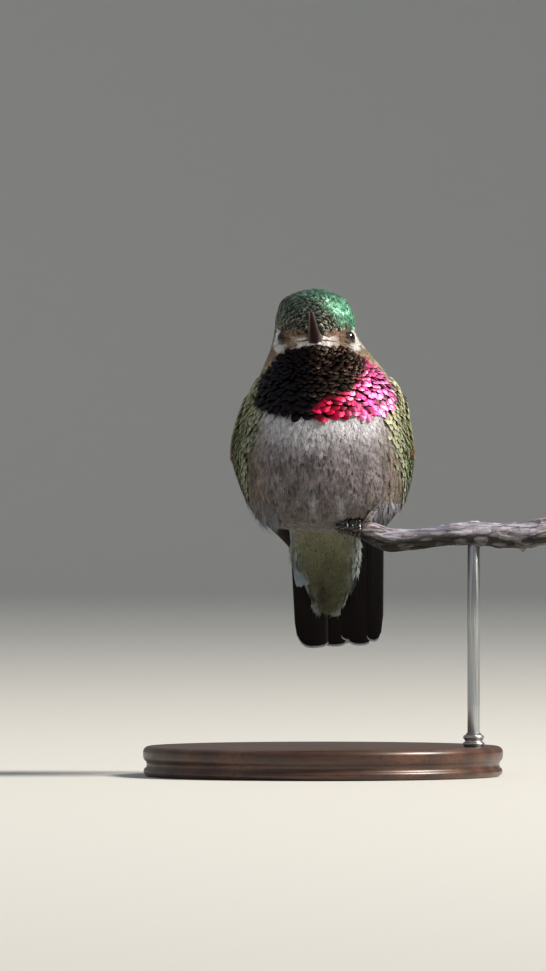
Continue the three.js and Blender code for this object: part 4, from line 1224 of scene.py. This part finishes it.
def wing_point(side, z, share, lift):
    """A point of the folded wing at height z, from share 0 at its front edge to 1 at its rear.

    It lies on the body's own ring, or lower down on one that closes on the tail.
    """
    _, front, rear = np.moveaxis(at_height(WING_EDGES, z), -1, 0)
    own = at_height(BODY[1:], np.maximum(z, WING_JOIN_Z))
    f = np.clip((WING_JOIN_Z - z) / (WING_JOIN_Z - WING_TIP), 0, 1)
    ring = mix(own, WING_TIP_RING, f[..., None])
    ring[..., 0] = z
    ring[..., 3:] += np.broadcast_to(lift, z.shape)[..., None]
    return on_ring(ring, side * rad(mix(front, rear, share)))


def shoulder_top(share):
    """Height of the upper edge of the wing's padded part."""
    return 77 - 5 * np.abs(2 * share - 1) ** 2.5


def shoulder_low(share):
    """Height where the flight feathers come out from it."""
    return 62.5 + 3.5 * (2 * share - 1) ** 2


def shoulder(side):
    """The padded part of a wing: t runs down it, and across runs the same way on both sides of the bird."""
    def surface(t, across):
        share = across if side > 0 else 1 - across
        z = mix(shoulder_top(share), shoulder_low(share), t)
        dome = np.sqrt(np.maximum(np.sin(math.pi * share) * np.sin(math.pi * mix(0.1, 0.75, t)), 0))
        return wing_point(side, z, share, mix(1.2, 1.8, dome))
    return surface


def shaft(w, r):
    """How far a flight feather's shaft stands up from its vane, tapering to the tip."""
    return 0.1 * np.exp(-(((w - SHAFT_AT) / 0.02) ** 2)) * (1 - 0.8 * r)


def tip_drop(w, rise_front, rise_rear):
    """How far a rounded tip is drawn back across its width."""
    return np.where(w < 0.5, rise_front, rise_rear) * (1 - np.sqrt(1 - np.abs(2 * w - 1) ** 2.2))


def blades(name, front, back, r, w, material, slot, replaces, tint, fringe):
    """Flight feathers as one mesh of thin closed vanes, from a grid of each one's front and its back."""
    points, faces = slabs(front, back)
    count = len(front)
    i, face, r, w = np.broadcast_arrays(
        np.arange(count)[:, None, None, None], np.arange(2)[:, None, None], r, w,
    )
    vane = stack(w, r).reshape(-1, 2)
    bake = stack((i + 0.02 + 0.96 * w) / count, 0.5 * face + 0.01 + 0.48 * r).reshape(-1, 2)
    colours = {
        layer: np.broadcast_to(colour, (*i.shape, 3)).reshape(-1, 3)
        for layer, colour in (("tint", tint), ("fringe", fringe))
    }
    piece(name, points, faces, material, slot, replaces, {"OFBake": bake, "Vane": vane}, colours)


def wing(name, side):
    """The flight feathers in two sets. Each overlaps the one in front of it, and its rear edge lies under
    the next. Their tips step up from the longest at the front edge."""
    r, w = np.linspace(0, 1, 30)[:, None], VANE_COLUMNS
    def split_share(z):
        return mix(1, 0.6, smooth(z, 50, 60))
    def long_tip(u):
        return mix(*LONG_TIPS, u**1.25)
    def long_share(u, z):
        down = np.clip((z - LONG_TIPS[0]) / np.ptp(LONG_TIPS), 0.04, 1)
        return np.minimum(split_share(z) * u / down ** 0.8, 1.05)
    def short_tip(u):
        return mix(54.5, 59.0, u)
    def short_share(u, z):
        return mix(split_share(z) + 0.03, 1, u)
    sets = (
        ("primaries", 9, long_tip, long_share, 0.5, (0.5, 1.6)),
        ("secondaries", 5, short_tip, short_share, 0.75, (0.8, 0.8)),
    )
    for label, count, tip_at, share_at, lift, rises in sets:
        i = np.arange(count)[:, None, None]
        u = np.minimum((i + 1.45 * w) / count, 1.03)
        top = shoulder_low(share_at(u, 62.5 + 0 * u)) + 1.2
        tip = tip_at((i + 0.5) / count) - 0.7 + tip_drop(w, *rises)
        z = mix(top, tip, r)
        share = share_at(u, z)
        height = lift + 0.1 + 0.55 * (1 - w) + shaft(w, r)
        outer = wing_point(side, z, share, height)
        inner = wing_point(side, z, share, height - 2 * HALF_VANE - 2 * shaft(w, r))
        faces = (outer, inner) if side > 0 else (inner, outer)
        lead = smooth(w, 0.25, 0.0)[:, None] * (i == 0)[..., None]
        tint = mix(linear("3b3537"), linear("6b4f38"), 0.8 * lead) * (1 - 0.25 * smooth(w, 0.6, 1)[:, None])
        blades(f"{label}_{name}", *faces, r, w, FLIGHT, "flight_feathers", [f"wing_{name}_{label}"],
               tint[:, None], linear("7a736d"))


def wing_coverts(name, side):
    """Scale feathers in rows over the padded part, small at the top and long at its lower edge."""
    rows, columns = 13, 11
    i, j = (g.ravel() for g in grid(np.arange(rows), np.arange(columns)))
    t = 0.04 + 0.93 * i / (rows - 1)
    across = 0.03 + 0.94 * (j + 0.5 * (i % 2)) / (columns - 0.5)
    at = grow(shoulder(side), f"wing_{name}", (t, across), None, lie_downwards, jitter=0.12, closed=False)
    size = mix(0.8, 1.45, at["t"] ** 1.5)
    _, y, z = np.split(at["p"], 3, -1)
    tint = fade("4a7242", "6d8a4a", smooth(y, 6, -2))
    tint = fade(tint, "75522f", 0.9 * smooth(z, 72, 66) * smooth(y, 6.5, 2))
    tint = fade(tint, SHOULDER_BUFF, 0.6 * shoulder_buff(at["p"]))
    fringe = fade("8a7c55", tint * 1.3, 0.4)
    coat(f"wing_coverts_{name}", at, SCALE, BACK_SCALES, "back_feathers", tint, fringe, seed=41 + side,
         length=2.6 * size, half=1.05 * size, depth=0.5, lift=0.05, camber=0.12, loose=0.08,
         base="2e2a20")


# ---------- tail ----------
TAIL_FEATHERS = np.array([  # tip from x to x, its height, how far each side is drawn back, how far forward
    (-5.6, 1.2, 25.2, 5.0, 0.9, 0.42), (-5.0, 0.8, 25.9, 4.5, 1.2, 0.27), (-4.4, 1.4, 26.4, 4.0, 1.4, 0.12),
    (-3.4, 2.3, 26.3, 3.0, 1.2, -0.03), (0.0, 5.0, 25.5, 1.0, 1.0, 0.05), (-1.6, 3.6, 26.0, 2.2, 1.2, -0.3),
    (9.0, 12.3, 26.5, 1.0, 5.0, 0.42), (5.2, 9.9, 25.7, 1.2, 1.0, 0.27), (3.6, 10.8, 26.3, 1.6, 3.6, 0.12),
    (2.6, 9.0, 26.5, 1.2, 3.0, -0.15), (1.9, 7.2, 26.1, 1.2, 2.2, -0.38),
])
TAIL_ROOT = (2.4, 50.3)  # x and height where the feathers meet


def tail_y(z):
    """How far back the middle of the tail's thickness lies at height z."""
    return 12.2 + (50.5 - z) * 0.468


def tail():
    """Eleven overlapping feathers, the outer ones in front: flat vanes that narrow a little to the root."""
    r, w = np.linspace(0, 1, 34)[:, None], VANE_COLUMNS
    for name, rows, narrowing in (("right", TAIL_FEATHERS[:6], 1.14), ("left", TAIL_FEATHERS[6:], 1.0)):
        start, end, low, rise_start, rise_end, forward = rows.T[:, :, None, None]
        tip_x = mix(start, end, w)
        root_x = mix(TAIL_ROOT[0], tip_x, narrowing)
        tip = low + tip_drop(w, rise_start, rise_end)
        z = mix(TAIL_ROOT[1], tip, r)
        x = mix(root_x, tip_x, r)
        cupped = 0.12 * (2 * w - 1) ** 2
        y = tail_y(z) - forward + cupped
        front = stack(x, y - HALF_VANE - shaft(w, r), z)
        back = stack(x, y + HALF_VANE + shaft(w, r), z)
        central = (forward < -0.2)[..., None]
        tint = np.where(central, linear("142a20"), linear("070608"))
        # a painted sheen: browner towards each feather's tip and one edge
        sheen = smooth(r, 0.6, 1.0)[..., None] * smooth(w, 0.5, 0.9)[:, None]
        tint = mix(tint, linear("2a1c1a"), 0.5 * sheen)
        blades(f"tail_feathers_{name}", front, back, r, w, TAIL, "tail_feathers", [f"tail_{name}"],
               tint[:, None], linear("b9c4d4"))


# ---------- bill and eyes ----------
def bill():
    """Two halves: each a half round, tapering to a slightly drooped tip, the upper with a ridge."""
    side = unit(np.cross(np.array([0, 0, 1.0]), BILL_WAY))
    up = np.cross(BILL_WAY, side)
    s = np.linspace(0, 1, 70)
    stops = [0, 0.1, 0.22, 0.5, 0.9, 0.985, 1]
    width = np.interp(s, stops, [1.65, 1.55, 1.3, 0.9, 0.52, 0.32, 0.04])
    height = np.interp(s, stops, [1.1, 1.0, 0.85, 0.7, 0.44, 0.26, 0.04])
    middle = BILL_BASE + mix(-1.5, BILL_LENGTH, s)[:, None] * BILL_WAY - np.outer(0.25 * s**3, up)
    a = np.linspace(0, math.pi, 17)
    flat = stack(np.linspace(-0.9, 0.9, 9), np.zeros(9))
    for name, sign in (("upper", 1), ("lower", -1)):
        ridge = 1 + 0.08 * np.exp(-(((a - math.pi / 2) / 0.3) ** 2)) * (sign > 0)
        section = np.concatenate([stack(np.cos(a), np.sin(a) * ridge), flat])
        out = side * (width[:, None] * section[:, 0])[..., None]
        over = up * (sign * (height[:, None] * section[:, 1] + HALF_BILL_GAP))[..., None]
        points, faces = closed_tube(middle[:, None] + out + over, flip=sign > 0)
        piece(f"horn_{name}", points, faces, HORN, "horn", [f"bill_{name}"])


def gape():
    """The bare corners of the mouth: a thin lip along each side of the face, behind the bill."""
    lips = []
    count = 20
    for sign in (1, -1):
        turn = sign * rad(np.linspace(4, 27, count))
        t = t_of(87.25 - 0.02 * np.degrees(np.abs(turn)), turn)
        p, n, _, _ = slopes(body, t, turn)
        path = p - n * np.linspace(0.1, 0.0, count)[:, None]
        lips.append(closed_tube(tube_rings(path, 0.2 * np.linspace(1, 0.35, count), 8, up=n)))
    piece("gape", *joined(lips), HORN, "horn")


def round_eye(name, radius, polar):
    """Points about an eye's centre, at polar angles from the way it looks."""
    axis = EYE_WAYS[name]
    u = unit(np.cross(axis, np.array([0, 0, 1.0])))
    circle = np.cos(EYE_TURN)[:, None] * u + np.sin(EYE_TURN)[:, None] * np.cross(axis, u)
    out = np.cos(polar)[..., None] * axis + np.sin(polar)[..., None] * circle
    return EYE_CENTRES[name] + np.asarray(radius)[..., None] * out


def eyes():
    """Each eye is a ball turned out of the head, with an iris that shows only as a faint brown ring."""
    for name, centre in EYE_CENTRES.items():
        polar = np.linspace(0.02, math.pi - 0.02, 40)[:, None]
        points, faces = closed_tube(round_eye(name, EYE_RADIUS, polar))
        out = dot(points - centre, EYE_WAYS[name]) / EYE_RADIUS
        iris = smooth(out, 0.70, 0.76) * smooth(out, 0.97, 0.9)
        tint = fade("030203", "20120c", iris)
        piece(f"eyeball_{name}", points, faces, EYE, "eye", [f"eye_{name}"], colours={"tint": tint})
        eyelids(name)


def eyelids(name):
    """A thin dark raised rim round the eye's opening, which comes to a corner in front and behind."""
    count = len(EYE_TURN)
    rim = np.linspace(0, 1, 12)[:, None]
    opening = EYE_OPENING - 0.08 * np.cos(2 * EYE_TURN) + 0.08 * np.maximum(0, -np.sin(EYE_TURN)) ** 8
    polar = mix(opening, opening + 0.4, rim)
    raised = EYE_RADIUS + 0.02 + 0.08 * np.sqrt(np.maximum(0, 1 - (2 * rim - 1) ** 4))
    outer = round_eye(name, raised, polar)
    inner = round_eye(name, EYE_RADIUS - 0.05, polar)
    rings = np.concatenate([outer, inner[::-1]])
    last = (len(rings) - 1) * count
    j = np.arange(count)
    k = (j + 1) % count
    faces = [grid_faces(len(rings), count, wrap=True), stack(last + j, j, k, last + k)]
    piece(f"eyelids_{name}", rings.reshape(-1, 3), faces, LID, "foot_skin")


# ---------- legs and feet ----------
def twig_at(x):
    """Middle and radius of the twig at x."""
    u = np.linspace(0, len(TWIG) - 1, 600)
    rows = stations(TWIG, u)
    here = stations(TWIG, np.interp(x, rows[:, 0], u))
    middle = stack(x, TWIG_Y + 0.7 * np.sin(x / 9), here[..., 1])
    return middle, here[..., 2]


def toe(x, splay, start, end):
    """One toe bent round the twig by angles from straight ahead: a tube with three swollen joints and fine
    plates across it, and the claw that goes on from it, thinner and hooked."""
    def path(s):
        middle, r = twig_at(x + splay * s)
        a = rad(mix(start, end, s))
        knuckle = 0.25 * smooth(s, 0.72, 0.86) * smooth(s, 1.0, 0.86)
        reach = r * BARK_SWELL + 0.56 + knuckle
        return middle + reach[:, None] * stack(0, -np.cos(a), np.sin(a))
    s = np.linspace(0, 0.78, 64)
    joints = 1 + 0.14 * np.cos(TURN * s / 0.22) ** 3
    plates = 0.05 * np.abs(np.sin(s * 70))[:, None] * np.maximum(0, np.cos(round_angles(12)))
    radius = 0.66 * joints * np.interp(s, [0, 0.1, 0.7, 0.78], [0.8, 1, 0.9, 0.45])
    flesh = closed_tube(tube_rings(path(s), radius, 12, plates))
    s = np.linspace(0.7, 1.0, 24)
    radius = 0.34 * np.interp(s, [0.7, 0.78, 0.9, 1.0], [0.7, 1.0, 0.6, 0.06])
    claw = closed_tube(tube_rings(path(s), radius, 10))
    return flesh, claw


def feet():
    """Three toes over the front of the twig and one behind, meeting in a pad under the bare shank."""
    s = np.linspace(0, 1, 60)
    plates = 0.06 * np.abs(np.sin(s * 38))[:, None] * np.maximum(0, np.sin(round_angles(14)))
    radius = np.interp(s, [0, 0.12, 1], [0.6, 0.42, 0.5])
    polar = np.linspace(0.05, math.pi - 0.05, 20)
    ball = turned_rings(stack(np.sin(polar), np.cos(polar)), (0, 0), 24)
    for name, x in FOOT_X.items():
        toes = [toe(x + 0.6 * k, 0.22 * k, 95, -58 + 9 * k * k) for k in (-1, 0, 1)] + [toe(x, 0, 80, 222)]
        flesh, claws = zip(*toes)
        middle, r = twig_at(np.array([x]))
        top = middle[0] + np.array([0, 0.1, r[0] * BARK_SWELL + 0.5])
        pad = closed_tube(top + ball * np.array([0.95, 0.62, 0.5]))
        shank = closed_tube(tube_rings(top + np.outer(s, np.array([-0.2, 2.5, 5.4])), radius, 14, plates))
        piece(f"toes_{name}", *joined([*flesh, pad]), FOOT, "foot_skin", [f"foot_{name}"])
        piece(f"claws_{name}", *joined(claws), HORN, "foot_skin")
        piece(f"shank_{name}", *shank, FOOT, "foot_skin", [f"leg_{name}"])


# ---------- perch and stand ----------
def cracks(x, a, count, seed):
    """How deep weathering cracks cut at (x, a): each a narrow groove that wanders along the grain."""
    rng = np.random.default_rng(seed)
    def pick(low, high):
        return rng.uniform(low, high, (count, 1, 1))
    middle, half, place = pick(2, 50), pick(1.2, 5.5), pick(0, TURN)
    wander = 0.05 * (x - middle) * pick(-1, 1) + 0.1 * np.sin(x * pick(0.4, 1.1) + pick(0, TURN))
    off = wrap(a - place - wander) / pick(0.05, 0.11)
    inside = np.clip(1 - ((x - middle) / half) ** 2, 0, 1)
    return (pick(0.08, 0.34) * np.exp(-(off**2)) * inside).max(0)


def bark_rings(x, middle, radius, a):
    """Rings of a twig along X, with its ridges and cracks, and flakes of bark on its far half.

    Gives the points, how deep each lies in a crack and how much of a flake is on it.
    """
    x = x[:, None]
    ridges = np.sin(3 * a + x * 0.35) + 0.5 * np.sin(5 * a - x * 0.8) + 0.25 * np.sin(11 * a + x * 0.5)
    depth = cracks(x, a, 70, 51)
    there = stack(x * 0.45, 2.4 * np.cos(a), 2.4 * np.sin(a))
    flakes = smooth(waves(there, 1.7, 52), 0.05, 0.2) * smooth(x, 24, 27)
    flakes = flakes + 0.6 * smooth(waves(there, 1.3, 53), 0.3, 0.5)
    full = radius[:, None] * (0.96 + 0.055 * ridges) - depth + 0.16 * flakes
    return middle[:, None] + full[..., None] * stack(0, -np.cos(a), np.sin(a)), depth, flakes


def bark_tints(along, over, crack_depth, raised):
    """Painted light and shade: silver on top, dark below and in cracks. Also a blue-grey band and pale
    flakes.
    """
    silver = fade("f0f1fb", "bfc4d6", smooth(along, 9, 14))
    # painted light and shade: silver where the wood faces up, dark where it faces down
    tint = fade("33342c", silver, smooth(over, -0.35, 0.6))
    # a darker blue-grey band partway along the twig, also lighter on top as painted light
    blue_grey_band = smooth(along, 15.5, 18.5) * smooth(along, 27, 24.5)
    tint = mix(tint, fade("3c3a34", "6d7388", smooth(over, -0.2, 0.8)), 0.75 * blue_grey_band)
    # pale raised flakes, less pale where they face down: painted shade
    tint = fade(tint, "f8f4fa", 0.5 * np.clip(raised, 0, 1) * (1 - 0.6 * smooth(over, 0.2, -0.6)))
    # painted shade in the cracks
    return tint * (1 - 0.8 * smooth(crack_depth, 0.04, 0.25))


def twig():
    """A dead twig: one tube with a splintered near end, a sawn far end, a forked stub and a spur."""
    a = round_angles(72)
    x = np.linspace(2.2, 50, 330)
    middle, radius = twig_at(x)
    splinter = np.interp(x, [2.2, 2.5, 3.2], [0.35, 0.75, 1.0])
    rings, depth, flakes = bark_rings(x, middle, radius * splinter, a)
    jag = 0.5 * np.sin(7 * a) + 0.35 * np.sin(13 * a + 1) + 0.5 * np.cos(a)
    rings[..., 0] += np.interp(x, [2.2, 3.4], [1.0, 0])[:, None] * (0.6 + 0.5 * jag)
    # how far each point faces up: this sets the painted light and shade of the bark
    over = np.broadcast_to(np.sin(a), depth.shape)
    inwards = np.array([0.03, 0.2, 0.45, 0.7])
    sawn = rings[-1] + (middle[-1] - rings[-1]) * inwards[:, None, None]
    on_end = np.zeros((len(inwards), len(a)))
    rings = np.concatenate([rings, sawn])
    tint = bark_tints(*(
        np.concatenate(pair).reshape(-1, 1)
        for pair in ((rings[..., 0],), (over, on_end + 0.6), (depth, on_end), (flakes, on_end))
    ))
    side_twigs = joined([snag(*STUB, 61), snag(*SPUR, 62)])
    points, faces = joined([closed_tube(rings), side_twigs])
    plain = (("b9a893", 2), ("ece8e6", len(side_twigs[0])))
    tint = np.concatenate([tint, *(np.tile(linear(c), (count, 1)) for c, count in plain)])
    piece("dead_twig", points, faces, BARK, "bark", ["perch_twig"], colours={"tint": tint})


def snag(start, end, near, far, seed):
    """The broken stub of a side twig: a short ridged cone with a torn end."""
    sides = 32
    s, a = np.linspace(0, 1, 40), round_angles(sides)
    rng = np.random.default_rng(seed)
    way = np.subtract(end, start)
    ridges = 0.09 * np.sin(4 * a + rng.uniform(0, 6) + s[:, None]) + 0.07 * np.sin(9 * a + 2 * s[:, None])
    radius = mix(near, far, s) * np.interp(s, [0, 0.93, 1], [1, 1, 0.5])
    rings = tube_rings(start + np.outer(s, way), radius, sides, ridges)
    torn = 0.35 * np.sin(5 * a + seed) + 0.25 * np.sin(9 * a)
    rings += smooth(s, 0.8, 1)[:, None, None] * (torn - 0.35)[:, None] * unit(way)
    return closed_tube(rings)


def arc(centre, radius, start, end, steps=7):
    """Points (radius, height) of a quarter round, by angles in degrees."""
    a = rad(np.linspace(start, end, steps))
    return stack(centre[0] + radius * np.cos(a), centre[1] + radius * np.sin(a))


def stand():
    """A turned walnut base with a quirk under its rounded edge, a steel rod, and the ring at its foot."""
    foot = [(0, 0), (20, 0), (34.8, 0), (35.2, 0.05)]
    quirk = [(35.35, 2.1), (35.2, 2.35), (35.35, 2.6)]
    top = [(34.2, 6.0), (33.6, 5.9), (33.2, 5.9), (32.6, 6.0), (24, 6.0), (12, 6.0), (0, 6.0)]
    profile = np.concatenate([
        foot, arc((35.0, 1.0), 0.9, -80, 70), quirk, arc((34.6, 4.1), 1.4, -55, 0),
        arc((34.8, 4.8), 1.2, 0, 90, 10), top,
    ])
    piece("walnut_base", *lathe(profile, (0, 0), 160), WALNUT, "stand_wood", ["stand_base"])
    at = twig_at(np.array([ROD_X]))[0][0]
    rod = [(0, 2.3), (1.15, 2.3), *((1.25, z) for z in (2.4, 15, 31, 47.1)), (1.15, 47.2), (0, 47.2)]
    piece("steel_rod", *lathe(rod, at, 40), STEEL, "stand_steel", ["stand_rod"])
    ring = np.concatenate([
        [(1.3, 6.05), (2.05, 6.05)], arc((1.85, 6.6), 0.35, -80, 80), [(1.75, 7.1), (1.75, 7.3)],
        arc((1.6, 7.9), 0.5, -60, 90), [(1.45, 8.75), (1.3, 8.8), (1.26, 8.7), (1.26, 6.1), (1.3, 6.05)],
    ])
    rings = turned_rings(ring, at, 48)
    faces = grid_faces(*rings.shape[:2], wrap=True)[:, ::-1]
    piece("turned_ferrule", rings.reshape(-1, 3), [faces], STEEL, "stand_steel", ["stand_ferrule"])


skin()
crown_feathers()
face_feathers()
gorget_feathers()
breast_feathers()
back_feathers()
undertail_feathers()
undertail_lobe()
uppertail_feathers()
rng = np.random.default_rng(31)
for name, side in SIDES.items():
    lapping_feathers(name, side, rng)
    loose_wisps(name, side, rng)
for name, side in SIDES.items():
    wing(name, side)
    wing_coverts(name, side)
tail()
bill()
gape()
eyes()
feet()
twig()
stand()


# ---------- room, light and camera ----------
BIRD_MIDDLE = Vector((0, 0, 0.07))  # metres, as are the light's and camera's other lengths


def stage():
    """A pale round floor that curves up into a low wall all round. Sizes are in metres."""
    a = rad(np.linspace(0, 90, 16))
    curve = stack(3.4 + 1.2 * np.sin(a), 1.2 - 1.2 * np.cos(a))
    rings = turned_rings(np.concatenate([[(0, 0), (1, 0)], curve, [(4.6, 3.2)]]), (0, 0), 96)
    mesh = bpy.data.meshes.new("floor")
    mesh.from_pydata(rings.reshape(-1, 3).tolist(), [], grid_faces(*rings.shape[:2], wrap=True).tolist())
    mesh.shade_smooth()
    material, _ = shader("pale paper floor", Roughness=0.95, Base_Color=(*linear("cfcfcb"), 1))
    mesh.materials.append(material)
    placed("floor", mesh)


def area_light(name, azimuth, elevation, distance, size, spread, power, colour):
    """A square light aimed at the bird, from an azimuth right of the camera and an elevation, in degrees.

    Its beam is spread degrees wide, as a softbox with a grid gives.
    """
    az, el = math.radians(azimuth), math.radians(elevation)
    way = Vector((math.sin(az) * math.cos(el), -math.cos(az) * math.cos(el), math.sin(el)))
    light = bpy.data.lights.new(name, "AREA")
    light.size = size
    light.spread = math.radians(spread)
    light.energy = power
    light.color = linear(colour)
    lamp = placed(name, light)
    lamp.location = BIRD_MIDDLE + way * distance
    lamp.rotation_euler = way.to_track_quat("Z", "Y").to_euler()


stage()
area_light("key", azimuth=78, elevation=40, distance=2.5, size=0.7, spread=130, power=56, colour="fff6ea")
area_light("fill", azimuth=-50, elevation=25, distance=1.4, size=1.2, spread=180, power=0.6,
           colour="e6ecff")
world = bpy.data.worlds.new("studio")
world.use_nodes = True
world.node_tree.nodes["Background"].inputs["Color"].default_value = (*linear("dfe6ee"), 1)
world.node_tree.nodes["Background"].inputs["Strength"].default_value = 0.4
bpy.context.scene.world = world
bpy.context.scene.view_settings.view_transform = "Standard"

CAMERA_DISTANCE = 2.0
FRAME_HEIGHT = 0.1942  # height of the view at the bird
camera_data = bpy.data.cameras.new("camera")
camera_data.sensor_width = 36
camera_data.lens = 36 * CAMERA_DISTANCE / FRAME_HEIGHT
camera_data.clip_end = 20
camera = placed("camera", camera_data)
camera.location = (-0.010, -CAMERA_DISTANCE, 0.0581)
camera.rotation_euler = (math.pi / 2, 0, 0)
bpy.context.scene.camera = camera
